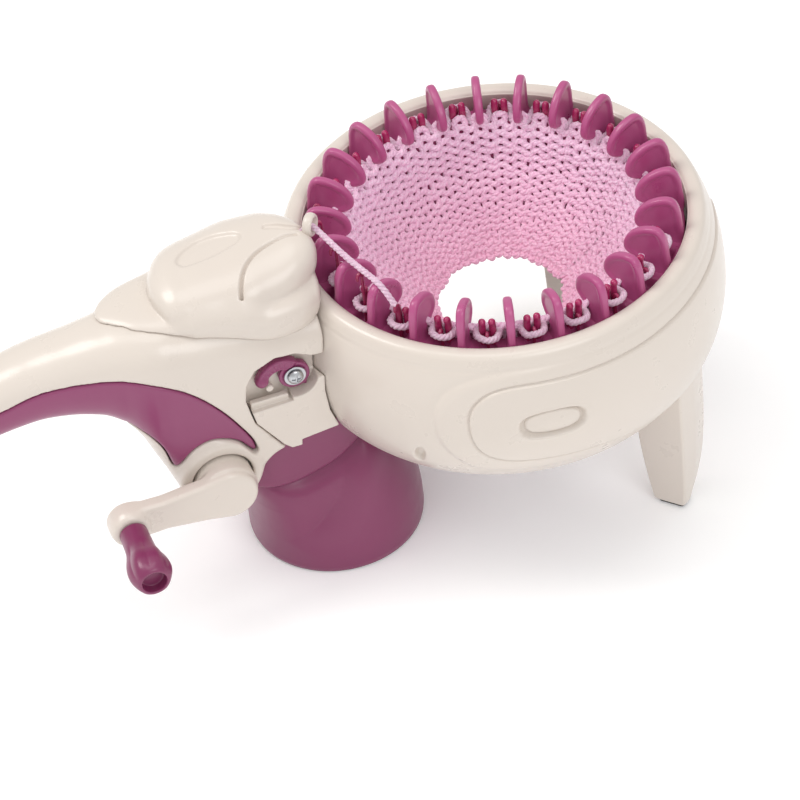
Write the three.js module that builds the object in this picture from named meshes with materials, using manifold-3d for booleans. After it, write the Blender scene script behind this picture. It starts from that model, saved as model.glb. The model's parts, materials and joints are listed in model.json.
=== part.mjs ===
// Circular knitting machine, hand-cranked, 24 needles.
// Millimetres, +Z up. The machine stands on z = 0; the origin is the centre of its footprint box.
// The knitting ring's axis is vertical. The arm and handle run from the ring along -X, and the crank axis runs along -Y.
import * as THREE from "three";
import { mergeVertices } from "three/addons/utils/BufferGeometryUtils.js";
import Module from "manifold-3d";

const wasm = await Module();
wasm.setup();

// ---- driving dimensions ----------------------------------------------------
const NEEDLES = 24; // needles, fins and peg pairs round the bed
const FLOOR_Z = -150; // table plane, measured from the fin tips' height (working z = 0)
const ORIGIN_X = 95.55; // moves the footprint box's centre to x = 0
const RIM_IN_R = 92; // inner edge of the ring housing's rim
const BED_BORE_R = 77.5;
const BED_WALL_R = 84.5;
const BED_DECK_R = 90.5;
const DECK_Z = -8;
const FIN_T = 3.6;
const PEG_R = 79.4; // radius at which the peg pairs stand
const PEG_W = 2.2;
const PEG_GAP = 5.0;
const NEEDLE_T = 2.8;
const NEEDLE_LIFT = 18; // full travel of a needle
const MODULE = 3; // spur gear train
const BED_TEETH = 58;
const IDLER_TEETH = 16;
const DRIVE_TEETH = 15;
const GEAR_Z0 = -62;
const GEAR_Z1 = -52;
const CROWN_MODULE = 2;
const CROWN_TEETH = 14;
const PINION_TEETH = 10;
const IDLER_X = -((BED_TEETH + IDLER_TEETH) * MODULE) / 2; // -111
const DRIVE_X = IDLER_X - ((IDLER_TEETH + DRIVE_TEETH) * MODULE) / 2; // -157.5
const CRANK_Z = -76; // height of the crank axis
const CRANK_THROW = 50;
const SEG = 40; // facets round a large lathe

// ---- helpers ---------------------------------------------------------------
function strip(geometry) {
  const g = geometry.index ? geometry.toNonIndexed() : geometry.clone();
  for (const k of Object.keys(g.attributes))
    if (k !== "position") g.deleteAttribute(k);
  return mergeVertices(g, 1e-4);
}
// closed three.js geometry -> manifold solid, faces turned outwards
function solid(geometry) {
  const g = strip(geometry);
  const t = new Uint32Array(g.index.array);
  const make = (tri) =>
    new wasm.Manifold(
      new wasm.Mesh({
        numProp: 3,
        vertProperties: new Float32Array(g.attributes.position.array),
        triVerts: tri,
      }),
    );
  let s = make(t);
  if (s.volume() < 0) {
    for (let i = 0; i < t.length; i += 3) [t[i + 1], t[i + 2]] = [t[i + 2], t[i + 1]];
    s = make(t);
  }
  return s;
}
function geometryOf(s) {
  const m = s.getMesh();
  const n = m.numProp;
  const v = new Float32Array(m.numVert * 3);
  for (let i = 0; i < m.numVert; i++)
    v.set(m.vertProperties.subarray(i * n, i * n + 3), i * 3);
  const g = new THREE.BufferGeometry();
  g.setAttribute("position", new THREE.BufferAttribute(v, 3));
  g.setIndex(new THREE.BufferAttribute(new Uint32Array(m.triVerts), 1));
  const flat = g.toNonIndexed();
  flat.computeVertexNormals();
  return flat;
}
const join = (...list) => list.reduce((a, b) => a.add(b));
const cut = (a, ...list) => list.reduce((x, y) => x.subtract(y), a);

// a profile of [r, z] points, closed on itself or ending on the axis, turned about Z
function lathe(points, segments = SEG, x = 0, y = 0) {
  const g = new THREE.LatheGeometry(
    points.map(([r, z]) => new THREE.Vector2(r, z)),
    segments,
  );
  g.rotateX(Math.PI / 2);
  g.translate(x, y, 0);
  return solid(g);
}
const ringProfile = (points) => [...points, points[0]];
function cylinder(r, z0, z1, x = 0, y = 0, n = 20) {
  const g = new THREE.CylinderGeometry(r, r, z1 - z0, n);
  g.rotateX(Math.PI / 2);
  g.translate(x, y, (z0 + z1) / 2);
  return solid(g);
}
function cylinderY(r, y0, y1, x, z, n = 20, rEnd = r) {
  // CylinderGeometry's top is at +Y
  const g = new THREE.CylinderGeometry(rEnd, r, y1 - y0, n);
  g.translate(x, (y0 + y1) / 2, z);
  return solid(g);
}
function box(x0, x1, y0, y1, z0, z1) {
  const g = new THREE.BoxGeometry(x1 - x0, y1 - y0, z1 - z0);
  g.translate((x0 + x1) / 2, (y0 + y1) / 2, (z0 + z1) / 2);
  return solid(g);
}
const shapeOf = (pts) => new THREE.Shape(pts.map(([a, b]) => new THREE.Vector2(a, b)));
// polygon in the XZ plane, extruded from y0 to y1
function prismXZ(pts, y0, y1) {
  const g = new THREE.ExtrudeGeometry(shapeOf(pts), { depth: y1 - y0, bevelEnabled: false });
  g.rotateX(Math.PI / 2); // (x, y, z) -> (x, -z, y)
  g.translate(0, y1, 0);
  return solid(g);
}
// polygon in the XY plane, extruded from z0 to z1
function prismXY(pts, z0, z1, hole = null) {
  const s = shapeOf(pts);
  if (hole) s.holes.push(new THREE.Path(hole.map(([a, b]) => new THREE.Vector2(a, b))));
  const g = new THREE.ExtrudeGeometry(s, { depth: z1 - z0, bevelEnabled: false });
  g.translate(0, 0, z0);
  return solid(g);
}
// polygon in a radial plane (r, z), a plate of thickness t standing at angle a
function radialPlate(pts, t, a) {
  const g = new THREE.ExtrudeGeometry(shapeOf(pts), { depth: t, bevelEnabled: false });
  g.translate(0, 0, -t / 2);
  g.rotateX(Math.PI / 2);
  g.rotateZ(a);
  return solid(g);
}
const circle = (r, n, cx = 0, cy = 0) =>
  Array.from({ length: n }, (_, i) => {
    const a = (i / n) * 2 * Math.PI;
    return [cx + r * Math.cos(a), cy + r * Math.sin(a)];
  });
// rings of equal length, joined into one closed skin with flat fan caps
function loft(rings) {
  const n = rings[0].length;
  const pos = [];
  rings.forEach((ring) => ring.forEach((p) => pos.push(...p)));
  const idx = [];
  for (let i = 0; i < rings.length - 1; i++)
    for (let j = 0; j < n; j++) {
      const a = i * n + j;
      const b = i * n + ((j + 1) % n);
      idx.push(a, b, a + n, b, b + n, a + n);
    }
  const centre = (ring) =>
    ring.reduce((s, p) => s.map((v, k) => v + p[k] / n), [0, 0, 0]);
  const c0 = pos.length / 3;
  pos.push(...centre(rings[0]));
  const c1 = c0 + 1;
  pos.push(...centre(rings[rings.length - 1]));
  const last = (rings.length - 1) * n;
  for (let j = 0; j < n; j++) {
    idx.push(c0, (j + 1) % n, j);
    idx.push(c1, last + j, last + ((j + 1) % n));
  }
  const g = new THREE.BufferGeometry();
  g.setAttribute("position", new THREE.Float32BufferAttribute(pos, 3));
  g.setIndex(idx);
  return solid(g);
}
// superellipse section in the YZ plane at x
function sectionX(x, yc, hy, zTop, zBot, n, count = 16) {
  const zc = (zTop + zBot) / 2;
  const hz = (zTop - zBot) / 2;
  const p = 2 / n;
  return Array.from({ length: count }, (_, i) => {
    const a = ((i + 0.5) / count) * 2 * Math.PI;
    const c = Math.cos(a);
    const s = Math.sin(a);
    return [
      x,
      yc + hy * Math.sign(c) * Math.abs(c) ** p,
      zc + hz * Math.sign(s) * Math.abs(s) ** p,
    ];
  });
}
// straight-flanked gear outline: root, tip, tip, root for each tooth; phase is the first tooth's angle
function gearOutline(teeth, m, phase, rootWidth = 0.56, tipWidth = 0.22) {
  const r = (teeth * m) / 2;
  const rr = r - 1.05 * m;
  const rt = r + 0.75 * m;
  const pitch = (2 * Math.PI) / teeth;
  const out = [];
  for (let k = 0; k < teeth; k++) {
    const a = phase + k * pitch;
    for (const [rad, off] of [
      [rr, -rootWidth / 2],
      [rt, -tipWidth / 2],
      [rt, tipWidth / 2],
      [rr, rootWidth / 2],
    ])
      out.push([rad * Math.cos(a + off * pitch), rad * Math.sin(a + off * pitch)]);
  }
  return out;
}
const at = (s, x, y, z) => s.translate([x, y, z]);

// ---- the machine's group ---------------------------------------------------
const machine = new THREE.Group();
machine.position.set(ORIGIN_X, 0, -FLOOR_Z);

const CREAM = { color: 0xe3d9ce, roughness: 0.32, metalness: 0 };
const CREAM_INNER = { color: 0xcfc6bb, roughness: 0.5, metalness: 0 };
const PURPLE = { color: 0x95436f, roughness: 0.35, metalness: 0 };
const STEEL = { color: 0xc4c6c8, roughness: 0.25, metalness: 1 };
const GEAR = { color: 0xe9e7e1, roughness: 0.45, metalness: 0 };
const RUBBER = { color: 0x2a2526, roughness: 0.85, metalness: 0 };
const YARN = { color: 0xe3b3cf, roughness: 0.95, metalness: 0 };
const NEEDLE = { color: 0x9c2f5a, roughness: 0.35, metalness: 0 };

function node(name, s, material, parent = machine) {
  const mesh = new THREE.Mesh(geometryOf(s), new THREE.MeshStandardMaterial(material));
  mesh.name = name;
  parent.add(mesh);
  return mesh;
}

// ---- ring housing ----------------------------------------------------------
// outer skin of the bowl from the rim down to the bottom edge
const RING_SKIN = [
  [94.2, 0.9], [99.4, 0.7], [103.4, -7], [107.4, -24], [108.5, -41],
  [107.4, -54], [104, -66], [97.5, -76], [88.5, -84],
];
const ringHousingSkin = [
  ...RING_SKIN,
  [85, -84], [94, -74.5], [100.4, -64], [103.8, -53], [104.9, -41], [103.9, -24],
  [101.9, -13.5], [RIM_IN_R, -11], [RIM_IN_R, -1],
];
const grow = (pts, d) => pts.map(([r, z]) => [r + d, z]);
// solid of the ring's whole outer shape plus a small gap, used to trim the pieces that butt on it
const ringCutter = lathe([
  [0, 1.2], [99.8, 1.2], ...grow(RING_SKIN, 0.4).slice(2), [88.9, -84.4], [85.2, -87.4], [0, -87.4],
], SEG);

const BADGE_A = THREE.MathUtils.degToRad(-97); // middle of the oval badge on the ring's side
const badgeShape = (ru, rz) =>
  Array.from({ length: 20 }, (_, i) => {
    const a = (i / 20) * 2 * Math.PI;
    const c = Math.cos(a);
    const s = Math.sin(a);
    return [ru * Math.sign(c) * Math.abs(c) ** 0.62, rz * Math.sign(s) * Math.abs(s) ** 0.8];
  });
function badgePrism(ru, rz, r0, r1) {
  // stands radially: local x tangential, local y up, extruded outwards, tilted with the wall
  const g = new THREE.ExtrudeGeometry(shapeOf(badgeShape(ru, rz)), { depth: r1 - r0, bevelEnabled: false });
  g.translate(0, 0, r0 - 108);
  g.rotateX(Math.PI / 2); // local z -> -Y, local y -> Z
  g.rotateX(THREE.MathUtils.degToRad(-3));
  g.translate(0, -108, -38);
  g.rotateZ(BADGE_A + Math.PI / 2);
  return solid(g);
}
let ringHousing = lathe(ringProfile(ringHousingSkin), SEG);
// window through which the idler gear reaches the bed's gear
ringHousing = cut(ringHousing, box(-112, -84, -28.5, 28.5, -65, -46));
ringHousing = cut(ringHousing, badgePrism(15.4, 7.6, 105.6, 112));
node("ring_housing", ringHousing, CREAM);
node("badge_plate", badgePrism(15.0, 7.2, 105.9, 107.2), CREAM);

// ---- base ring: closes the bowl and guides the bed --------------------------
const baseRing = lathe(ringProfile([
  [73, -87], [84.5, -87], [84.5, -84.3], [80, -84.3], [80, -62.5], [77, -62.5], [77, -38], [73, -38],
]), SEG);
node("base_ring", baseRing, CREAM_INNER);

// ---- cam ring and its lifting ramp ------------------------------------------
let camRing = lathe(ringProfile([
  [91.4, -50], [101, -50], [101, -14.5], [91.4, -14.5], [91.4, -16.5], [98.3, -16.5], [98.3, -47.5], [91.4, -47.5],
]), SEG);
{
  // the ramp lies inside the cam ring's channel on the arm's side and rises towards the feeder
  const steps = 12;
  const rings = [];
  for (let i = 0; i <= steps; i++) {
    const t = i / steps;
    const a = THREE.MathUtils.degToRad(138 + 84 * t);
    const top = -42 + NEEDLE_LIFT * Math.sin(Math.PI * t) ** 1.5;
    const ring = [[91.6, -48.5], [99.2, -48.5], [99.2, top], [91.6, top]];
    rings.push(ring.map(([r, z]) => [r * Math.cos(a), r * Math.sin(a), z]));
  }
  camRing = join(camRing, loft(rings));
}
node("cam_ring", camRing, CREAM_INNER);

// ---- needle bed: deck, wall, gear, fins and pegs in one moulding ---------------
const TAU = 2 * Math.PI;
const finAngle = (k) => (k / NEEDLES) * TAU;
const needleAngle = (k) => ((k + 0.5) / NEEDLES) * TAU;
const FIN = [
  [BED_BORE_R + 0.3, DECK_Z - 1], [BED_BORE_R + 0.3, -2.4], [68.2, 0], [68.8, 6],
  [72, 11.8], [78, 16], [84.6, 16.9], [88.6, 13.6], [90.4, 4], [90.4, DECK_Z - 1],
];
let bed = lathe(ringProfile([
  [BED_BORE_R, GEAR_Z0], [83.4, GEAR_Z0], [83.4, GEAR_Z1], [BED_WALL_R, GEAR_Z1], [BED_WALL_R, -14],
  [BED_DECK_R, -12.5], [BED_DECK_R, DECK_Z], [BED_BORE_R, DECK_Z],
]), SEG);
bed = join(bed, prismXY(gearOutline(BED_TEETH, MODULE, 0), GEAR_Z0 + 0.4, GEAR_Z1 - 0.4, circle(80, SEG)));
for (let k = 0; k < NEEDLES; k++) {
  bed = bed.add(radialPlate(FIN, FIN_T, finAngle(k)));
  const a = needleAngle(k);
  for (const side of [-1, 1]) {
    const g = new THREE.BoxGeometry(PEG_W, PEG_W, 13.6);
    g.translate(PEG_R, (side * PEG_GAP) / 2, -1.8);
    g.rotateZ(a);
    bed = bed.add(solid(g));
  }
  const slot = new THREE.BoxGeometry(84.9 - 80.9, NEEDLE_T + 0.6, 43.5);
  slot.translate((84.9 + 80.9) / 2, 0, -28.5);
  slot.rotateZ(a);
  bed = bed.subtract(solid(slot));
}
const bedGroup = new THREE.Group();
machine.add(bedGroup);
node("needle_bed", bed, PURPLE, bedGroup);

// ---- needles ------------------------------------------------------------------
const NEEDLE_PROFILE = [
  [81.3, -46], [83.4, -46], [83.4, -41], [89.5, -41], [89.5, -36], [83.4, -36], [83.1, 1.4],
  [84.2, 2.5], [85.3, 1.4], [85.3, -1.2], [86.8, -1.2], [86.8, 2.2], [84.2, 4.6], [81.3, 2.2],
];
// needles near the feeder stand raised at rest; index counts round from +X
const RAISED = { 10: 9, 11: 17, 12: 18, 13: 17, 14: 9 };
for (let k = 0; k < NEEDLES; k++) {
  const name = "needle_" + String(k + 1).padStart(2, "0");
  const s = radialPlate(NEEDLE_PROFILE, NEEDLE_T, needleAngle(k));
  node(name, s, NEEDLE, bedGroup).position.set(0, 0, RAISED[k] || 0);
}

// ---- knitted tube hanging inside the bed ----------------------------------------
const knit = lathe(ringProfile([
  [76.5, -3], [76.2, -12], [74, -22], [66, -34], [53, -44], [40.5, -52], [33.8, -60],
  [31.0, -58.6], [38.2, -49.6], [51.2, -41.4], [63.6, -31.8], [71, -20.6], [73.2, -11.2], [73.4, -3],
]), 36);
node("knit_tube", knit, YARN, bedGroup);

// ---- gear train -----------------------------------------------------------------
const gearGroup = new THREE.Group();
machine.add(gearGroup);
const idler = cut(
  prismXY(gearOutline(IDLER_TEETH, MODULE, Math.PI / IDLER_TEETH), GEAR_Z0, GEAR_Z1),
  cylinder(3.9, -80, -40, 0, 0, 16),
);
node("idler_gear", idler, GEAR, gearGroup).position.set(IDLER_X, 0, 0);
let drive = prismXY(gearOutline(DRIVE_TEETH, MODULE, 0), GEAR_Z0, GEAR_Z1);
drive = join(drive, cylinder(18, -64, GEAR_Z0 + 0.5, 0, 0, 28));
for (let k = 0; k < CROWN_TEETH; k++) {
  const g = new THREE.BoxGeometry(5, 1.8, 3.9);
  g.translate(14, 0, -65.45);
  g.rotateZ(-Math.PI / 2 + (k / CROWN_TEETH) * TAU);
  drive = drive.add(solid(g));
}
drive = cut(drive, cylinder(3.9, -80, -40, 0, 0, 16));
node("drive_gear", drive, GEAR, gearGroup).position.set(DRIVE_X, 0, 0);

const gearPlate = cut(
  box(-173, -103, -25, 24.6, -50.2, -47.2),
  cylinder(3.9, -60, -40, IDLER_X, 0, 16),
  cylinder(3.9, -60, -40, DRIVE_X, 0, 16),
);
// headed pin: shank through the gear and the plate, head under the gear
const headedPin = (x, zHead) =>
  at(join(cylinder(3.6, zHead, -46.6, 0, 0, 16), cylinder(5.6, zHead - 1.6, zHead + 0.001, 0, 0, 16)), x, 0, 0);
node("gear_plate", gearPlate, CREAM_INNER, gearGroup);
node("idler_shaft", headedPin(IDLER_X, -62.5), STEEL, gearGroup);
node("drive_shaft", headedPin(DRIVE_X, -64.4), STEEL, gearGroup);

// ---- crank ------------------------------------------------------------------------
const crankGroup = new THREE.Group();
crankGroup.position.set(DRIVE_X, 0, CRANK_Z);
machine.add(crankGroup);
node("crank_shaft", cylinderY(4, -49.4, 15, 0, 0, 16), STEEL, crankGroup);
{
  const g = new THREE.ExtrudeGeometry(shapeOf(gearOutline(PINION_TEETH, CROWN_MODULE, Math.PI / 2 + Math.PI / PINION_TEETH, 0.5, 0.2)), {
    depth: 4,
    bevelEnabled: false,
  });
  g.rotateX(Math.PI / 2);
  g.translate(0, -12, 0);
  const pinion = cut(join(solid(g), cylinderY(6.6, -12.1, -5, 0, 0, 20)), cylinderY(4.3, -30, 5, 0, 0, 16));
  node("crank_pinion", pinion, GEAR, crankGroup);
}
{
  // flat arm with a round boss at the shaft and an elbow boss that turns outwards to the knob
  const arm = [];
  const N = 12;
  for (let i = 0; i <= N; i++) {
    const a = -Math.PI / 2 + (i / N) * Math.PI; // right half round the boss
    arm.push([13 * Math.cos(a), 13 * Math.sin(a)]);
  }
  arm.push([-14, 10.6], [-34, 8.4]);
  for (let i = 0; i <= 8; i++) {
    const a = Math.PI / 2 + (i / 8) * Math.PI;
    arm.push([-CRANK_THROW + 9.4 * Math.cos(a), 9.4 * Math.sin(a)]);
  }
  arm.push([-34, -7.6], [-14, -9.4]);
  let s = prismXZ(arm, -52, -44.5);
  s = join(s, cylinderY(9.4, -57.5, -44.5, -CRANK_THROW, 0, 20, 9.4));
  s = join(s, cylinderY(12, -44.6, -39.2, 0, 0, 24));
  s = cut(s, cylinderY(4.3, -49.8, -30, 0, 0, 16), cylinderY(2.8, -70, -40, -CRANK_THROW, 0, 14));
  node("crank_arm", s, CREAM, crankGroup);
}
{
  // knob: turned about its own axis, open at the outer end
  const profile = [
    [0, -57.9], [6.8, -57.9], [6.9, -64], [7.3, -72], [8.6, -79], [11, -85], [11.2, -90], [9.8, -95],
    [7.4, -97.6], [6.2, -97.4], [5.8, -91.5], [0, -91.5],
  ];
  const g = new THREE.LatheGeometry(profile.map(([r, y]) => new THREE.Vector2(r, y)), 20);
  g.translate(-CRANK_THROW, 0, 0);
  node("crank_knob", cut(solid(g), cylinderY(2.8, -99, -50, -CRANK_THROW, 0, 14)), PURPLE, crankGroup);
  const pin = join(
    cylinderY(2.5, -92.2, -44.9, -CRANK_THROW, 0, 14),
    cylinderY(4.4, -94.2, -92.1, -CRANK_THROW, 0, 14),
  );
  node("knob_pin", pin, STEEL, crankGroup);
}

// ---- arm: front housing, rear cover, grip -------------------------------------------
const ARM = [
  // x, yc, half width, top, bottom, squareness
  [-88, 0, 37, 0, -70, 4], [-104, 0, 38, 1, -71, 4], [-125, 0, 39, 3, -76, 4], [-140, 0, 39, 6.5, -85.5, 4],
  [-155, -0.5, 38.5, 9, -97.5, 4], [-168, -2.4, 36.2, 10.5, -96, 3.8], [-178, -5.7, 31.8, 11, -81, 3.4], [-184, -6.1, 29.9, 11, -66.5, 3],
  [-189, -6.2, 27.8, 10.8, -53.5, 2.7], [-196, -6.8, 23.7, 9.6, -42.8, 2.5], [-206, -5.4, 21.1, 7.4, -37, 2.4], [-220, -2.9, 19.7, 4, -34.5, 2.3],
  [-236, -1.2, 18.8, 0.6, -34.2, 2.2], [-254, -1.2, 17.2, -3.6, -36.8, 2.2], [-272, -1.3, 16.3, -7.2, -40.4, 2.2], [-288, -1.4, 15.2, -11, -43, 2.2],
  [-296, -1.4, 12, -15, -41, 2.2], [-299.6, -1.4, 7, -20, -36.5, 2.2],
];
const armOuter = (d) =>
  loft(ARM.map(([x, yc, hy, zt, zb, n]) => sectionX(x - (x < -290 ? d : 0), yc, hy + d, zt + d, zb - d, n)));
const armSkin = armOuter(0);
const armFat = armOuter(0.4);
const WALL = 3;
const armInner = loft(
  ARM.slice(0, 16).map(([x, yc, hy, zt, zb, n]) => sectionX(x + (x > -100 ? 8 : 0), yc, hy - WALL, zt - WALL, zb + WALL, n)),
);
const GRIP_EDGE = [
  [-305, -27], [-288, -25], [-270, -20], [-252.5, -15.7], [-232.6, -10.2], [-204.7, -7.7], [-192, -8], [-183, -10.4], [-172, -15.6],
  [-161.8, -24.3], [-152.5, -36], [-145.1, -48.5], [-140.4, -58], [-138.6, -65], [-140, -66.4], [-142.4, -63.4], [-146.4, -57.6],
  [-151.4, -53.9], [-158, -51.6], [-164, -52.2], [-170, -55.4], [-174.6, -60.6], [-177.6, -64.4], [-179.4, -62], [-181.4, -53.6],
  [-184.6, -46.6], [-189.5, -41.5], [-195.4, -38], [-195.4, -60], [-305, -60],
];
const gripZone = prismXZ(GRIP_EDGE, -60, 60);
// the same outline pushed out by a small gap
const gripZoneFat = (() => {
  const n = GRIP_EDGE.length;
  const area = GRIP_EDGE.reduce((s, p, i) => {
    const q = GRIP_EDGE[(i + 1) % n];
    return s + p[0] * q[1] - q[0] * p[1];
  }, 0);
  const sgn = area > 0 ? 1 : -1;
  const out = GRIP_EDGE.map((p, i) => {
    const a = GRIP_EDGE[(i + n - 1) % n];
    const b = GRIP_EDGE[(i + 1) % n];
    const d1 = [p[0] - a[0], p[1] - a[1]];
    const d2 = [b[0] - p[0], b[1] - p[1]];
    const l1 = Math.hypot(...d1);
    const l2 = Math.hypot(...d2);
    let nx = d1[1] / l1 + d2[1] / l2;
    let ny = -d1[0] / l1 - d2[0] / l2;
    const l = Math.hypot(nx, ny);
    nx /= l;
    ny /= l;
    return [p[0] + sgn * 0.3 * nx, p[1] + sgn * 0.3 * ny];
  });
  return prismXZ(out, -60.5, 60.5);
})();
const gripShell = cut(armSkin.intersect(gripZone), armInner);
node("grip_insert", gripShell, PURPLE);

// opening for the mode lever and for the neck bracket's plate
const NECK_PLATE = [
  [-138.4, -42.2], [-118, -41.6], [-118.4, -35.4], [-113, -31.6], [-92, -31.6], [-90, -64.2], [-116.3, -67.6],
  [-116.5, -71], [-121.6, -71], [-125.4, -67.4], [-137, -49.4],
];
const WINDOW = [
  [-138.8, -43.5], [-140.6, -34], [-139.4, -25], [-134.4, -17.4], [-124, -13.6], [-114, -14.6], [-106, -18.6], [-88, -20.6],
  [-88, -64.9], [-116.8, -68.2], [-117, -71.6], [-122, -71.6], [-126, -67.8], [-137.6, -49.4],
];
const SPLIT_Y = 14;
const armBare = cut(armSkin, armInner, gripZoneFat, ringCutter);
const everywhere = (y0, y1) => box(-310, -80, y0, y1, -110, 30);
let armFront = armBare.intersect(everywhere(-60, SPLIT_Y - 0.15));
armFront = cut(armFront, prismXZ(WINDOW, -60, -30));
// hub round the crank: raised ring with a recess for the crank's boss
armFront = join(armFront, cut(cylinderY(21.6, -39.8, -32.6, DRIVE_X, CRANK_Z, 28), gripZoneFat));
armFront = cut(armFront, cylinderY(16.2, -50, -35.6, DRIVE_X, CRANK_Z, 28), cylinderY(9.3, -50, -20, DRIVE_X, CRANK_Z, 24), cylinderY(12, -32.5, -26, DRIVE_X, CRANK_Z, 24));
let armRear = armBare.intersect(everywhere(SPLIT_Y + 0.15, 60));
const bodies = (s) => s.decompose().sort((a, b) => b.volume() - a.volume());
// screw holes of the rear cover
const SCREWS = [[-122, -30], [-152, -21]];
for (const [x, z] of SCREWS) armRear = cut(armRear, cylinderY(2.4, 20, 60, x, z, 12));
node("arm_housing", bodies(armFront)[0], CREAM);
node("arm_rear_cover", bodies(armRear)[0], CREAM);
SCREWS.forEach(([x, z], i) => {
  const s = join(cylinderY(2.1, 30, 39.6, x, z, 12), cylinderY(4.2, 39.4, 41.4, x, z, 12));
  node("cover_screw_" + (i + 1), cut(s, box(x - 2.6, x + 2.6, 40.4, 42, z - 0.5, z + 0.5), box(x - 0.5, x + 0.5, 40.4, 42, z - 2.6, z + 2.6)), STEEL);
});

const bush = cut(
  join(cylinderY(9, -38.3, -28, DRIVE_X, CRANK_Z, 24), cylinderY(11.6, -32.2, -28, DRIVE_X, CRANK_Z, 24)),
  cylinderY(4.4, -45, -20, DRIVE_X, CRANK_Z, 16),
);
node("crank_bush", bush, { color: 0xb9a06a, roughness: 0.35, metalness: 1 });
const armInnerTight = loft(
  ARM.slice(0, 16).map(([x, yc, hy, zt, zb, n]) => sectionX(x, yc, hy - WALL - 0.4, zt - WALL - 0.4, zb + WALL + 0.4, n)),
);
const bracket = cut(box(-169, -146, 8, 12, -98, -69.4).intersect(armInnerTight), cylinderY(4.4, 0, 20, DRIVE_X, CRANK_Z, 16));
node("shaft_bracket", bracket, CREAM_INNER);

// ---- neck bracket: joins the ring housing and the arm --------------------------------
const neckFront = join(prismXZ(NECK_PLATE, -39.2, -32), prismXZ(NECK_PLATE, -32.5, -28.6));
const recessBack = prismXZ([[-143, -46], [-143, -14.5], [-90, -14.5], [-90, -46]], -31, -28.6);
let neck = join(neckFront, recessBack);
neck = cut(neck, ringCutter, cylinderY(1.8, -60, -20, -115, -29.4, 12), cylinderY(10.6, -60, -31.2, -115, -29.4, 28));
neck = cut(neck, cut(armSkin, armInner, prismXZ(WINDOW, -60, -30)));
// shelf with a stepped edge behind the lever, and a small rest stud
neck = join(neck, box(-138, -119.5, -36.2, -33.3, -42.5, -38.4));

neck = cut(neck, armOuter(0.0).subtract(armInner).subtract(prismXZ(WINDOW, -60, -30)));
node("neck_bracket", bodies(neck)[0], CREAM);

// ---- mode lever: curved thumb lever on a screw ----------------------------------------
{
  // local: pivot at the origin, the lever's curved arm reaches left
  const outer = [];
  const inner = [];
  for (let i = 0; i <= 8; i++) {
    const t = i / 8;
    const a = THREE.MathUtils.degToRad(48 + 122 * t);
    const w = 6.4 - 1.2 * t;
    outer.push([-6.4 + 12.3 * Math.cos(a), -0.8 + 12.3 * Math.sin(a)]);
    inner.push([-6.4 + (12.3 - w) * Math.cos(a), -0.8 + (12.3 - w) * Math.sin(a)]);
  }
  const blade = prismXZ([...outer, ...inner.reverse()], -34.4, -31.4);
  const tip = cylinderY(3.4, -34.9, -31.4, -15.9, 1.0, 16);
  const boss = cylinderY(7.6, -35.0, -31.4, 0, 0, 20);
  const tail = prismXZ([[0, -6.6], [5.4, -8.2], [7.2, -2], [5.6, 5.2], [-2, 7]], -34.4, -31.4);
  let lever = join(blade, tip, boss, tail);
  for (let i = 0; i < 5; i++) {
    const a = THREE.MathUtils.degToRad(80 + 15 * i);
    const g = new THREE.BoxGeometry(1.1, 1.6, 2.4);
    g.translate(0, -34.8, 0);
    g.rotateY(Math.PI / 2 - a);
    g.translate(-6.4 + 9.6 * Math.cos(a), 0, -0.8 + 9.6 * Math.sin(a));
    lever = lever.add(solid(g));
  }
  lever = cut(lever, cylinderY(1.9, -60, -20, 0, 0, 12));
  const m = node("mode_lever", at(lever, -115, 0, -29.4), PURPLE);
  m.position.set(0, 0, 0);
  const washer = cut(cylinderY(5.4, -36.2, -35.3, -115, -29.4, 20), cylinderY(1.9, -60, -20, -115, -29.4, 12));
  node("lever_washer", washer, STEEL);
  const screw = cut(
    join(cylinderY(1.5, -36.8, -27.2, -115, -29.4, 12), cylinderY(3.9, -38.8, -36.5, -115, -29.4, 20)),
    box(-117.4, -112.6, -40, -37.7, -29.9, -28.9),
    box(-115.5, -114.5, -40, -37.7, -31.8, -27),
  );
  node("lever_screw", screw, STEEL);
}

// ---- pod cover over the gear head ------------------------------------------------------
const SKIRT = [
  [-196.8, -1, 4.6, 11, 5, 2.2], [-193, -1.4, 11.4, 12, 2, 2.4], [-188, -2, 16.2, 12.8, 0, 2.5], [-182, -2.5, 19.6, 13.4, -1, 2.6],
  [-168.6, -3, 23.2, 14.4, -3, 2.8], [-155, -3, 25.8, 15.2, -5, 2.8], [-141.7, -2.5, 29.4, 16, -8, 2.8], [-132, -2, 32.4, 16.8, -10, 2.8],
  [-120, -2, 34.6, 17.2, -12, 2.7], [-108, -3, 32.2, 17, -12, 2.6], [-99, -4, 26.8, 16.6, -9, 2.4], [-95, -5, 20.4, 15, -3, 2.3],
];
const DOME = [
  [-171, -5, 7.4, 18.4, 8, 2.2], [-168.6, -5.2, 14.6, 21.4, 4, 2.2], [-163.5, -4.4, 22.4, 24, 2, 2.25], [-155, -3.2, 28.6, 25.4, -2, 2.3],
  [-142, -2.8, 31.4, 26.8, -4, 2.3], [-128, -0.6, 31.2, 28.6, -4, 2.3], [-119.5, 0.2, 29.4, 29.5, -4, 2.25], [-111.6, 0, 28, 30.2, -3, 2.2],
  [-105, -1.4, 24.4, 31, -1, 2.2], [-99, -3.4, 19.2, 30.8, 3, 2.2], [-95, -5.4, 13.8, 29.4, 8, 2.2], [-92.4, -7.2, 8, 27, 12.6, 2.2],
];
const shape = (list, d, dx = 0) =>
  loft(list.map(([x, yc, hy, zt, zb, n], i) =>
    sectionX(x + (i < 2 ? -dx : i > list.length - 3 ? dx : 0), yc, hy + d, zt + d, zb - d, n)));
const podOuter = join(shape(SKIRT, 0), shape(DOME, 0));
const podInner = join(shape(SKIRT.slice(1, -1), -2.8), shape(DOME.slice(1), -2.8, -2.6));
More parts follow.
